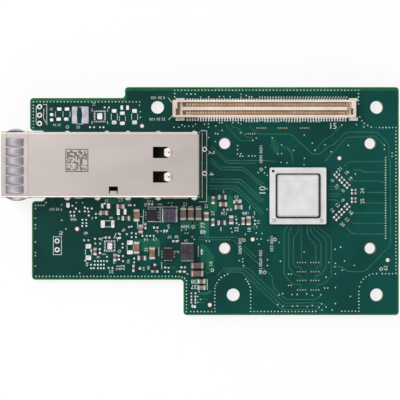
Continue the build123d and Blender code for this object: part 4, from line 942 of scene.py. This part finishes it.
# Prints for flat packages that aren't fitted: the middle pad's place, length and width, and the side
EMPTY_PRINTS = ((99.8, 116.4, 5.2, 6.2, 12.2), (109.8, 246.0, 5.0, 6.6, 11.6))
EDGE_PADS_PER_SIDE, EDGE_PAD_PITCH = 7, 0.5
EDGE_PAD_LENGTH, EDGE_PAD_WIDTH, EDGE_PAD_INSET, EDGE_PAD_BEVEL = 0.5, 0.26, 0.28, 0.05

# How round pads are: the radius of their corners and the bevel of their edge
SMALL_PAD_EDGE, OBLONG_PAD_EDGE, WIDE_PAD_EDGE = (0.12, 0.06), (0.2, 0.1), (0.3, 0.1)
PAD_STEPS = 2


def pad(solids, outline, edge):
    """A plated pad with rounded corners and a rounded edge."""
    radius, bevel = edge
    solids.slab(rounded(outline, radius, PAD_STEPS), BOARD_TOP, PAD_TOP, bevel)


def edge_pads(solids, middle, side):
    """The pads along the four sides of an empty print."""
    out = side / 2 / PIXELS_PER_MM - EDGE_PAD_INSET
    for turn in (0, 90, 180, 270):
        cosine, sine = math.cos(math.radians(turn)), math.sin(math.radians(turn))
        for index in range(EDGE_PADS_PER_SIDE):
            along = (index - (EDGE_PADS_PER_SIDE - 1) / 2) * EDGE_PAD_PITCH
            x = middle[0] + out * cosine - along * sine
            y = middle[1] + out * sine + along * cosine
            outline = oblong(x, y, EDGE_PAD_LENGTH, EDGE_PAD_WIDTH, turn)
            solids.slab(outline, BOARD_TOP, PAD_TOP, EDGE_PAD_BEVEL)


def bare_pads():
    """Plated pads with no part on them."""
    pads, wide = Solids(), Solids()
    for px, py in SMALL_PADS:
        pad(pads, oblong(*at(px, py), SMALL_PAD, SMALL_PAD), SMALL_PAD_EDGE)
    for entry in OBLONG_PADS:
        pad(pads, printed_oblong(*entry), OBLONG_PAD_EDGE)
    for px, py, length, width, side in EMPTY_PRINTS:
        pad(pads, printed_oblong(px, py, length, width), OBLONG_PAD_EDGE)
        edge_pads(pads, at(px, py), side)
    for corners in WIDE_PADS:
        pad(wide, [at(*corner) for corner in corners], WIDE_PAD_EDGE)
    piece("bare_pads", pads, "solder")
    piece("wide_pads", wide, "paste_pad")


# Printed lines in pixels: upright ticks from y to y at each x, level ones from x to x at each y
SILK_WIDTH = 0.17
UPRIGHT_TICKS = (
    (106, 124.5, (36.3,)), (108.6, 112, (92, 107.6)), (121, 124.2, (92, 107.6)),
    (113.6, 120, (111.3, 117.3, 131.6, 137.6)), (116, 121, (119.4, 125.4)),
    (111.4, 117, (55.5, 63, 70)), (249, 254.8, (85.5, 91.7)), (244.8, 250, (127, 133.2)),
    (237.8, 241, (101.8, 117.6)), (247, 256, (158.8,)), (262, 269, (161.7,)),
    (209.5, 216.5, (143.6,)), (130.7, 147, (206.7,)), (133, 198, (202.2,)), (246, 257, (198.3,)),
    (279, 290, (207.2,)), (222.4, 229.5, (145.5,)), (212, 217, (139.4,)),
)
LEVEL_TICKS = (
    (79, 84, (107,)), (76.4, 83.4, (124,)), (105.2, 110.6, (220.8, 226.8)),
    (101.8, 106, (237.8, 254.2)), (113.4, 117.6, (237.8, 254.2)), (200.6, 206.7, (130.7,)),
)
SILK_PATHS = (
    ((44, 108.5), (43.4, 118.5), (47.4, 125)), ((42.8, 104.5), (46.8, 104.5), (46.8, 124)),
    ((53.4, 236.7), (61.4, 236.7), (61.4, 254.6), (53.4, 254.6), (53.4, 236.7)),
    ((206.7, 153), (206.7, 201.8), (199.1, 201.8)), ((168, 97.6), (172.5, 103)),
    ((168.5, 119.8), (172.5, 115.5)), ((181.5, 207), (185.5, 206.2)), ((188.7, 207), (193, 206.2)),
    ((196, 207), (200.5, 206.2)),
)
SILK_FRAMES = ((140.3, 222.4, 5.6, 11.6), (168.6, 214.4, 17.0, 15.0), (155.2, 214.4, 14.4, 14.6))


def silk_lines():
    """Printed frames, ticks and leader lines."""
    paths = list(SILK_PATHS)
    for start, end, places in UPRIGHT_TICKS:
        paths += [((x, start), (x, end)) for x in places]
    for start, end, places in LEVEL_TICKS:
        paths += [((start, y), (end, y)) for y in places]
    ink = Solids()
    for path in paths:
        ink.ribbon([at(*point) for point in path], SILK_WIDTH, BOARD_TOP, SILK_TOP)
    grow = SILK_WIDTH * PIXELS_PER_MM
    for px, py, length, width in SILK_FRAMES:
        outer = printed_oblong(px, py, length + grow, width + grow)
        inner = printed_oblong(px, py, length - grow, width - grow)
        ink.band(outer, inner, BOARD_TOP, SILK_TOP)
    piece("silk_lines", ink, "silk")


# Plain numbers in pixels, by their turn in degrees: x, y, number, height
SILK_NUMBERS = {
    180: (
        (51, 109, "21", 2.6), (78.5, 127, "10", 3), (57, 124.8, "33 34", 2.4),
        (158, 97.6, "0 30 100", 2.8), (157.5, 119, "22 30 100", 2.8), (106.4, 200.4, "31", 3),
        (120.8, 200.2, "67", 3), (150.4, 202, "122", 3.2), (159.9, 204.2, "4040", 1.6),
        (55.8, 209.1, "7 30 207", 2.6), (73.4, 219.1, "945", 3), (85.9, 233, "40", 3),
        (115.4, 235.1, "7", 5), (118.7, 218, "9", 3.2), (168.5, 226.4, "5", 4), (165.3, 231.3, "64", 3.2),
        (157.7, 231.3, "4", 3), (146.3, 239.4, "14", 3.2), (155, 238.9, "13", 3.2),
        (169.6, 236.7, "97", 3), (176.7, 236.7, "38", 3), (111.1, 271.4, "31", 3.8),
        (143.6, 268.7, "5", 3.6), (148.5, 267.6, "8", 3.6), (185.2, 203.8, "12", 3.2),
        (224.2, 213.3, "126", 3.2), (236.6, 197, "30", 3.2), (249.7, 207.4, "1", 4),
        (254.5, 213, "1", 3.8), (247, 213, "18", 3.2), (221, 228.9, "3", 3.4),
        (185.2, 226.5, "3600", 3.2), (203.1, 231.7, "48", 4.4), (193.9, 281.5, "38", 4.2),
        (193.9, 286.7, "37", 4.2), (193.7, 306.4, "4", 3), (186, 240.6, "24", 2.6),
    ),
    90: (
        (94, 104.2, "12", 2.8), (145.5, 204.8, "60", 2.6), (177, 251.9, "2", 4),
        (146.3, 249.7, "35", 3.2), (128.4, 261.7, "16", 3.2), (118.4, 267.6, "21", 4),
        (122.8, 267.6, "22", 4), (87.2, 264.4, "44", 3), (206.3, 206.5, "20", 3.2),
        (213, 213.3, "27", 3.4), (236.6, 229.3, "22", 3.6), (249.3, 230, "18", 3.6),
        (258.5, 222.1, "11", 3.4), (203.3, 225.3, "77", 4.4), (201.9, 252, "4", 3.8),
        (211, 264, "14", 3.6), (362.5, 190.9, "24", 3.8), (362.5, 201.1, "25", 3.8),
        (385.8, 268.1, "62", 3.6), (99.5, 213.8, "8", 2.4), (114.6, 262, "91", 2.6),
    ),
    0: (
        (332.8, 126.3, "15", 6), (223.5, 192, "3", 3), (110.8, 217.9, "44", 2.6), (92.2, 218.6, "7", 2.6),
        (98, 257.2, "30", 2.4), (152.4, 220.6, "6", 2.4),
    ),
    -90: (
        (211.4, 152.6, "2", 6), (211.2, 174, "4", 5), (262, 190.7, "01", 6.4),
        (260.8, 154, "1500 3600", 3), (271.6, 243.6, "1500 220", 3), (260.4, 262, "330 4700 180", 3.1),
        (239.9, 246, "330 6005", 3.1), (60.7, 233, "78", 3.4),
    ),
    45: (
        (123.5, 230.2, "46", 3), (243.8, 213.7, "8", 3.6), (340.1, 169, "21", 3.4),
        (346.8, 172.8, "16", 3.4), (350.6, 179.2, "19", 3.4), (332.5, 180.6, "0", 3.6),
        (337, 186.8, "17", 3.4), (343.2, 190.9, "0", 3.6),
    ),
    -45: (
        (342.7, 200.4, "0", 3.6), (337.3, 205.2, "12", 3.4), (332, 210.4, "14", 3.4),
        (350.6, 212.6, "18", 3.4), (346.8, 219.7, "13", 3.4), (342.3, 224.5, "20", 3.4),
    ),
}


def silk_numbers():
    """Plain numbers beside the parts."""
    entries = []
    for turn, group in SILK_NUMBERS.items():
        for px, py, number, height in group:
            entries.append((*at(px, py), number, height / PIXELS_PER_MM, turn))
    numerals("silk_numbers", entries, BOARD_TOP, SILK_TOP, "silk")


# Solder on the pads of the fitted parts, and how far up their end caps it climbs
PAD_REACH, PAD_MARGIN = 0.3, 0.1
SOLDER_CORNER = 0.12
SAME_LEVEL = 0.01
SOLDER_PROFILE = ((0.0, 1.0), (0.3, 0.55), (0.7, 0.2), (1.0, 0.05))
UNDER_PART = "bypass_capacitor"
SOLDER_CLIMB = {
    "large_capacitor": 0.55, "tan_capacitor": 0.5, "medium_capacitor": 0.5, "medium_resistor": 0.6,
    "small_capacitor": 0.5, "tiny_part": 0.5, "coupling_capacitor": 0.6, UNDER_PART: 0.5,
}
LEADED_NODES = (
    "left_inductor_terminals", "lower_inductor_terminals", "left_regulator_lands",
    "lower_regulator_lands", "mezzanine_hold_downs",
)
LAND_HEIGHT = 0.05
LEAD_LEAST, LEAD_MARGIN, LEAD_PAD_EDGE = 0.4, 0.45, (0.12, 0.08)


def end_solder(solids, cap, body_middle, climb, under):
    """A fillet that climbs one end cap from its pad, mostly on the side away from the body."""
    heights = [point[2] for point in cap]
    floor, level, top = BOARD_TOP, min(heights), max(heights)
    if under:
        floor, level, top = 0.0, top, level
    foot = [Vector(point[:2]) for point in cap if abs(point[2] - level) < SAME_LEVEL]
    middle = sum(foot, Vector((0, 0))) / len(foot)
    out = (middle - body_middle).normalized()
    side = Vector((-out.y, out.x))
    half_out = max((point - middle).dot(out) for point in foot)
    half_side = max((point - middle).dot(side) for point in foot)
    rings = []
    for share, swell in SOLDER_PROFILE:
        z = floor + share * climb * (top - floor)
        front = half_out + PAD_REACH * swell
        wide = half_side + PAD_MARGIN * swell
        corners = [
            (-half_out, -wide), (front - SOLDER_CORNER, -wide), (front, SOLDER_CORNER - wide),
            (front, wide - SOLDER_CORNER), (front - SOLDER_CORNER, wide), (-half_out, wide),
        ]
        rings.append([(*(middle + out * along + side * across), z) for along, across in corners])
    solids.loft(rings)


def chip_solder():
    """Solder at both ends of every two-terminal part."""
    solder = Solids()
    for name, climb in SOLDER_CLIMB.items():
        bodies = [bounds_of(points)[0] for points in parts_of(name + "_bodies")]
        for cap in parts_of(name + "_ends"):
            here = bounds_of(cap)[0]
            nearest = min(bodies, key=lambda body: (body - here).length)
            end_solder(solder, cap, nearest, climb, name == UNDER_PART)
    piece("chip_solder", solder, "solder")


def terminal_pads():
    """Pads under inductors, regulators, transistors and the connector's clips."""
    pads = Solids()
    for node in LEADED_NODES:
        for points in parts_of(node):
            middle, length, width = bounds_of(points)
            outline = oblong(*middle, length + 2 * PAD_MARGIN, width + 2 * PAD_MARGIN)
            pads.slab(outline, BOARD_TOP, BOARD_TOP + LAND_HEIGHT, bevel=LAND_HEIGHT)
    for points in parts_of("transistor_leads"):
        middle, length, width = bounds_of(points)
        length, width = max(length, LEAD_LEAST) + LEAD_MARGIN, max(width, LEAD_LEAST) + LEAD_MARGIN
        pad(pads, oblong(*middle, length, width), LEAD_PAD_EDGE)
    piece("terminal_pads", pads, "solder")


# Mezzanine contacts: half sections from the connector's middle line outwards, as y and z
SPRING_PATH = (
    (1.74, 4.86), (1.56, 5.02), (1.3, 5.1), (0.98, 5.08), (0.76, 4.98), (0.62, 4.7), (0.58, 4.2),
    (0.58, 3.0), (0.6, 2.2), (0.72, 2.02), (1.0, 1.98), (1.5, 1.98),
)
FOOT_LEVEL = 1.69
FOOT_PATH = ((1.5, 1.98), (2.2, 1.98), (2.42, 1.96), (2.56, 1.88), (2.66, 1.76), (2.78, FOOT_LEVEL))
SPRING_WIDTH, FOOT_WIDTH = 0.5, 0.36
FOOT_LENGTHS = ((-1, 0.88), (1, 0.6))
FOOT_SOLDER_WIDTH, FOOT_SOLDER_LENGTH, FOOT_SOLDER_HEIGHT = 0.46, 0.8, 0.07
FOOT_SOLDER_INSET = 0.3


def mezzanine_contacts():
    """Formed contacts: a spring lip beside the tongue, a blade, a run under the rail and a foot."""
    springs, feet, solder = Solids(), Solids(), Solids()
    solder_top = BOARD_TOP + FOOT_SOLDER_HEIGHT
    for index in range(MEZZ_PER_ROW):
        x = MEZZ_X + (index - (MEZZ_PER_ROW - 1) / 2) * MEZZ_PITCH
        for side, length in FOOT_LENGTHS:
            tip = HOUSING_HALF + length
            foot_path = (*FOOT_PATH, (tip, FOOT_LEVEL))
            springs.strip([(MEZZ_Y + side * y, z) for y, z in SPRING_PATH], x, SPRING_WIDTH)
            feet.strip([(MEZZ_Y + side * y, z) for y, z in foot_path], x, FOOT_WIDTH)
            solder_y = MEZZ_Y + side * (tip - FOOT_SOLDER_INSET)
            outline = oblong(x, solder_y, FOOT_SOLDER_WIDTH, FOOT_SOLDER_LENGTH)
            solder.slab(outline, BOARD_TOP, solder_top, bevel=FOOT_SOLDER_HEIGHT)
    for made in (
        piece("mezzanine_contact_springs", springs, "gold_plate"),
        piece("mezzanine_contact_feet", feet, "tinned_metal"),
    ):
        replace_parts(made, "mezzanine_connector_contacts")
    piece("mezzanine_foot_solder", solder, "solder")


# Spring collar round the cage's nose
COLLAR_SHEET = 0.15
COLLAR_BANDS = ((CAGE_FRONT, -109.0), (-104.1, -102.7))
FINGER_WIDTH = 2.15
FINGER_BOW = 0.85
FINGER_SPANS = 16
FINGER_PITCH = 2.75
FINGERS_ABOVE, FINGERS_BESIDE = 6, 3
ROW_SHIFT = -0.35
SIDE_CROWN = 0.62
ACROSS_SHARES = (-1, -0.6, 0, 0.6, 1)
BEND_STEPS = 6


def collar_section(grow):
    """The cage's outline in the YZ plane, grown and with rounded upper corners."""
    low, high = CAGE_LOW_Y - grow, CAGE_HIGH_Y + grow
    floor, top = BOARD_TOP - grow, CAGE_TOP + grow
    radius = CAGE_BEND + grow
    points = [(low, floor), (high, floor)]
    for corner_y, start in ((high - radius, 0), (low + radius, 90)):
        for step in range(BEND_STEPS + 1):
            turn = math.radians(start + 90 * step / BEND_STEPS)
            points.append((corner_y + radius * math.cos(turn), top - radius + radius * math.sin(turn)))
    return points


def bowed_finger(solids, place, crown=0.0):
    """One bowed finger, crowned across by a share of its bow, placed by a function of x, y, rise."""
    rings = []
    for step in range(FINGER_SPANS + 1):
        along = step / FINGER_SPANS
        x = FINGER_START + along * FINGER_LENGTH
        bow = FINGER_BOW * (1 - (2 * along - 1) ** 2)
        ring = []
        for lift, shares in ((0.0, ACROSS_SHARES), (COLLAR_SHEET, reversed(ACROSS_SHARES))):
            for share in shares:
                rise = bow * (1 - crown * share * share) + lift
                ring.append(place(x, share * FINGER_WIDTH / 2, rise))
        rings.append(ring)
    solids.loft(rings)


def spring_collar():
    """Two bands joined by bowed fingers on all four sides of the cage."""
    bands, fingers = Solids(), Solids()
    outer, inner = collar_section(COLLAR_SHEET), collar_section(0.0)
    for low_x, high_x in COLLAR_BANDS:
        rings = []
        for section, x in ((outer, low_x), (outer, high_x), (inner, high_x), (inner, low_x)):
            rings.append([(x, y, z) for y, z in section])
        bands.loft(rings, loop=True)
    for index in range(FINGERS_ABOVE):
        y = CAGE_MIDDLE_Y + ROW_SHIFT + (index - (FINGERS_ABOVE - 1) / 2) * FINGER_PITCH
        for level, sign in ((CAGE_TOP, 1), (BOARD_TOP, -1)):
            bowed_finger(fingers, lambda x, across, rise: (x, y + across, level + sign * rise))
    for index in range(FINGERS_BESIDE):
        z = (BOARD_TOP + CAGE_TOP) / 2 + (index - (FINGERS_BESIDE - 1) / 2) * FINGER_PITCH
        for level, sign in ((CAGE_HIGH_Y, 1), (CAGE_LOW_Y, -1)):
            bowed_finger(
                fingers, lambda x, across, rise: (x, level + sign * rise, z + across), SIDE_CROWN,
            )
    for made in (
        piece("collar_bands", bands, "collar_band"),
        piece("collar_fingers", fingers, "spring_sheet", smooth=True),
    ):
        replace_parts(made, "emi_spring_collar")


# Marks on the cage's top: a framed square of cells, which stands for no code
CODE_LEFT, CODE_LOW, CODE_SIDE = -91.85, 8.48, 6.7
CODE_CELLS = 14
CODE_FRAME, CODE_MARGIN = 0.3, 0.45
CODE_SEED = 7
MARKED_SHARE, CELL_SHARE = 0.5, 0.94
ETCH_FOOT, ETCH_TOP = CAGE_TOP - 0.01, CAGE_TOP + 0.012


def etched_square():
    """Random cells of etching in a frame."""
    random.seed(CODE_SEED)
    marks = Solids()
    middle = (CODE_LEFT + CODE_SIDE / 2, CODE_LOW + CODE_SIDE / 2)
    inner_side = CODE_SIDE - 2 * CODE_FRAME
    outer, inner = oblong(*middle, CODE_SIDE, CODE_SIDE), oblong(*middle, inner_side, inner_side)
    marks.band(outer, inner, ETCH_FOOT, ETCH_TOP)
    cell = (CODE_SIDE - 2 * CODE_MARGIN) / CODE_CELLS
    mark = CELL_SHARE * cell
    for column in range(CODE_CELLS):
        for line in range(CODE_CELLS):
            if random.random() < MARKED_SHARE:
                x = CODE_LEFT + CODE_MARGIN + (column + 0.5) * cell
                y = CODE_LOW + CODE_MARGIN + (line + 0.5) * cell
                marks.slab(oblong(x, y, mark, mark), ETCH_FOOT, ETCH_TOP)
    piece("etched_square", marks, "etching_and_lip_shade")


# Lips behind the two lanced windows, measured from the root of each tongue
LIP_ROOT = CAGE_REAR - 9.45
LIP_OFFSET = 3.55
LIP_CORNERS = ((-0.95, 0.95), (0.4, 1.15), (1.0, 0.8))
LIP_RISE, LIP_RADIUS, LIP_BEVEL = 0.1, 0.3, 0.22
SHADE_MIDDLE, SHADE_REACH_X, SHADE_REACH_Y, SHADE_WIDTH = 0.2, 1.1, 0.9, 0.2
SHADE_TURNS = range(-48, 49, 12)
SHADE_TOP = CAGE_TOP + 0.015
DIMPLE_SHADE_PLACE, DIMPLE_SHADE_RADIUS, DIMPLE_SHADE_TOP = 0.45, 0.26, CAGE_TOP + LIP_RISE + 0.01


def window_lips():
    """Rounded lips behind the windows, where their tongues bend down, coloured as a painted highlight, with
    a dark disc of painted shade for a dimple and an arc of painted shade.
    """
    lips, shade = Solids(), Solids()
    for y in (CAGE_MIDDLE_Y - LIP_OFFSET, CAGE_MIDDLE_Y + LIP_OFFSET):
        outline = [(LIP_ROOT + along, y - across) for along, across in LIP_CORNERS]
        outline += [(LIP_ROOT + along, y + across) for along, across in reversed(LIP_CORNERS)]
        lips.slab(rounded(outline, LIP_RADIUS), CAGE_TOP - LIP_RISE, CAGE_TOP + LIP_RISE, LIP_BEVEL)
        middle_x = LIP_ROOT + SHADE_MIDDLE
        arc = [
            (middle_x + SHADE_REACH_X * math.cos(turn), y + SHADE_REACH_Y * math.sin(turn))
            for turn in map(math.radians, SHADE_TURNS)
        ]
        # An arc and a disc of painted shade by each lip
        shade.ribbon(arc, SHADE_WIDTH, ETCH_FOOT, SHADE_TOP)
        shade.disc(LIP_ROOT + DIMPLE_SHADE_PLACE, y, DIMPLE_SHADE_RADIUS, ETCH_FOOT, DIMPLE_SHADE_TOP)
    piece("window_lips", lips, "bright_metal_and_lip_highlight")
    piece("window_lip_shades", shade, "etching_and_lip_shade")


# Processor
BALL_RADIUS, BALL_HEIGHT = 0.3, 0.45
BALL_PROFILE = ((0.0, 0.6), (0.2, 0.88), (0.5, 1.0), (0.8, 0.88), (1.0, 0.6))
RIM_OUTER, RIM_OUTER_RADIUS = 13.38, 0.8
RIM_MIDDLE, RIM_DEPTH = (CHIP_X - 0.02, CHIP_Y + 0.06), 0.1
RIM_LENGTH, RIM_WIDTH, RIM_RADIUS = 12.24, 12.4, 0.6
MARK_RISE, MARK_DEPTH, STAMP_RISE = 0.012, 0.02, 0.03
PIN_MARK_INSET, PIN_MARK_RADIUS = 1.05, 0.42
STAMP_INSET_X, STAMP_INSET_Y, STAMP_OUTER, STAMP_INNER = 1.35, 1.1, 0.52, 0.36


def solder_balls():
    """Rounded balls in the place of the plain ones."""
    balls = Solids()
    for points in parts_of("processor_solder_balls"):
        middle = bounds_of(points)[0]
        rings = []
        for share, width in BALL_PROFILE:
            z = BOARD_TOP + BALL_HEIGHT * share
            rings.append([(x, y, z) for x, y in circle(*middle, BALL_RADIUS * width, DISC_SIDES)])
        balls.loft(rings)
    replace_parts(piece("round_solder_balls", balls, "solder", smooth=True), "processor_solder_balls")


def lid_details():
    """The dark rim round the lid's raised middle, the pin mark and two stamped rings."""
    rim, mark, stamps = Solids(), Solids(), Solids()
    outer = rounded(oblong(CHIP_X, CHIP_Y, RIM_OUTER, RIM_OUTER), RIM_OUTER_RADIUS)
    inner = rounded(oblong(*RIM_MIDDLE, RIM_LENGTH, RIM_WIDTH), RIM_RADIUS)
    rim.band(outer, inner, LID_TOP - RIM_DEPTH, LID_TOP + MARK_RISE)
    piece("lid_rim_shade", rim, "lid_shade")
    mark_x, mark_y = CHIP_X - CHIP_HALF + PIN_MARK_INSET, CHIP_Y + CHIP_HALF - PIN_MARK_INSET
    foot = LID_BRIM_TOP - MARK_DEPTH
    mark.disc(mark_x, mark_y, PIN_MARK_RADIUS, foot, LID_BRIM_TOP + MARK_RISE)
    piece("pin_mark", mark, "hole_shade_and_pin_mark")
    stamp_y = CHIP_Y - CHIP_HALF + STAMP_INSET_Y
    for side in (-1, 1):
        stamp_x = CHIP_X + side * (CHIP_HALF - STAMP_INSET_X)
        stamps.washer(stamp_x, stamp_y, STAMP_OUTER, STAMP_INNER, foot, LID_BRIM_TOP + STAMP_RISE)
    piece("stamped_rings", stamps, "etching_and_lip_shade")


# Numbers on the inductors: place, number, height and turn, and the body's height over the board
INDUCTOR_MARKS = (((-61.8, -4.2, "22", 1.7, 180), 2.2), ((-56.5, -15.2, "20", 1.9, 135), 2.6))


def part_marks():
    """Plain numbers printed on the inductors."""
    for index, (entry, height) in enumerate(INDUCTOR_MARKS, 1):
        level = BOARD_TOP + height
        low, high = level - MARK_DEPTH, level + MARK_RISE
        numerals(f"inductor_number_{index}", [entry], low, high, "dark_package")


copper_planes()
copper_fields()
traces()
vias()
hole_marks()
fiducials()
bare_pads()
silk_lines()
silk_numbers()
chip_solder()
terminal_pads()
mezzanine_contacts()
spring_collar()
etched_square()
window_lips()
solder_balls()
lid_details()
part_marks()

# Camera
camera_data = bpy.data.cameras.new("camera")
camera_data.angle = 2 * math.atan(CAMERA_HALF_WIDTH / CAMERA_DISTANCE)
camera_data.clip_start = 0.01
camera_data.clip_end = 10
camera = placed("camera", camera_data)
camera.location = [value * MM for value in CAMERA_PLACE]
bpy.context.scene.camera = camera


# Lamps
def lamp(name, place, power, size):
    """A square soft lamp that points at the card's middle."""
    data = bpy.data.lights.new(name, "AREA")
    data.energy = power
    data.size = size
    light = placed(name, data)
    light.location = place
    target = Vector((CAMERA_PLACE[0] * MM, 0, 0))
    light.rotation_euler = (target - Vector(place)).to_track_quat("-Z", "Y").to_euler()


lamp("key_lamp", (-0.36, 0.18, 0.42), 1.35, 0.3)
lamp("edge_lamp", (-0.06, -0.5, 0.15), 2.0, 0.4)
lamp("far_edge_lamp", (-0.06, 0.5, 0.15), 1.1, 0.4)

# Floor and surroundings
FLOOR_GAP = 0.00001
FLOOR_REACH = 1.5
FLOOR_TONE = (0.96, 0.96, 0.96, 1)
FLOOR_GLOW = 0.8
AMBIENT = 0.47


def background_share(shader):
    """One for rays from the camera, off gloss and through glass, otherwise nought."""
    rays = shader.add("LightPath")
    seen = shader.maths("MAXIMUM", rays["Is Camera Ray"], rays["Is Glossy Ray"])
    return shader.maths("MAXIMUM", seen, rays["Is Transmission Ray"])


def floor_paint():
    """Near-white paint that glows a little for the background rays and keeps the shadow."""
    material = bpy.data.materials.new("floor_paint")
    shader = Shader(material)
    paint = shader.nodes["Principled BSDF"]
    shader.feed(paint, {"Base Color": FLOOR_TONE, "Roughness": 0.9, "Specular IOR Level": 0.1})
    share = shader.maths("MULTIPLY", background_share(shader), FLOOR_GLOW)
    glow = shader.add("Emission")["Emission"]
    blend = shader.add("MixShader", {0: share, 1: paint.outputs["BSDF"], 2: glow})
    shader.feed(shader.nodes["Material Output"], {"Surface": blend["Shader"]})
    return material


floor_mesh = bpy.data.meshes.new("floor")
floor_corners = oblong(0, 0, 2 * FLOOR_REACH, 2 * FLOOR_REACH)
floor_mesh.from_pydata([(x, y, 0) for x, y in floor_corners], [], [(0, 1, 2, 3)])
floor_mesh.materials.append(floor_paint())
floor = placed("floor", floor_mesh)
floor.location.z = cad_box[0][2] - FLOOR_GAP

world = bpy.data.worlds.new("studio")
bpy.context.scene.world = world
sky = Shader(world)
strength = sky.ranged(background_share(sky), (0, 1), (AMBIENT, 1))
sky.feed(sky.nodes["Background"], {"Color": (1, 1, 1, 1), "Strength": strength})

bpy.context.scene.view_settings.view_transform = "Standard"
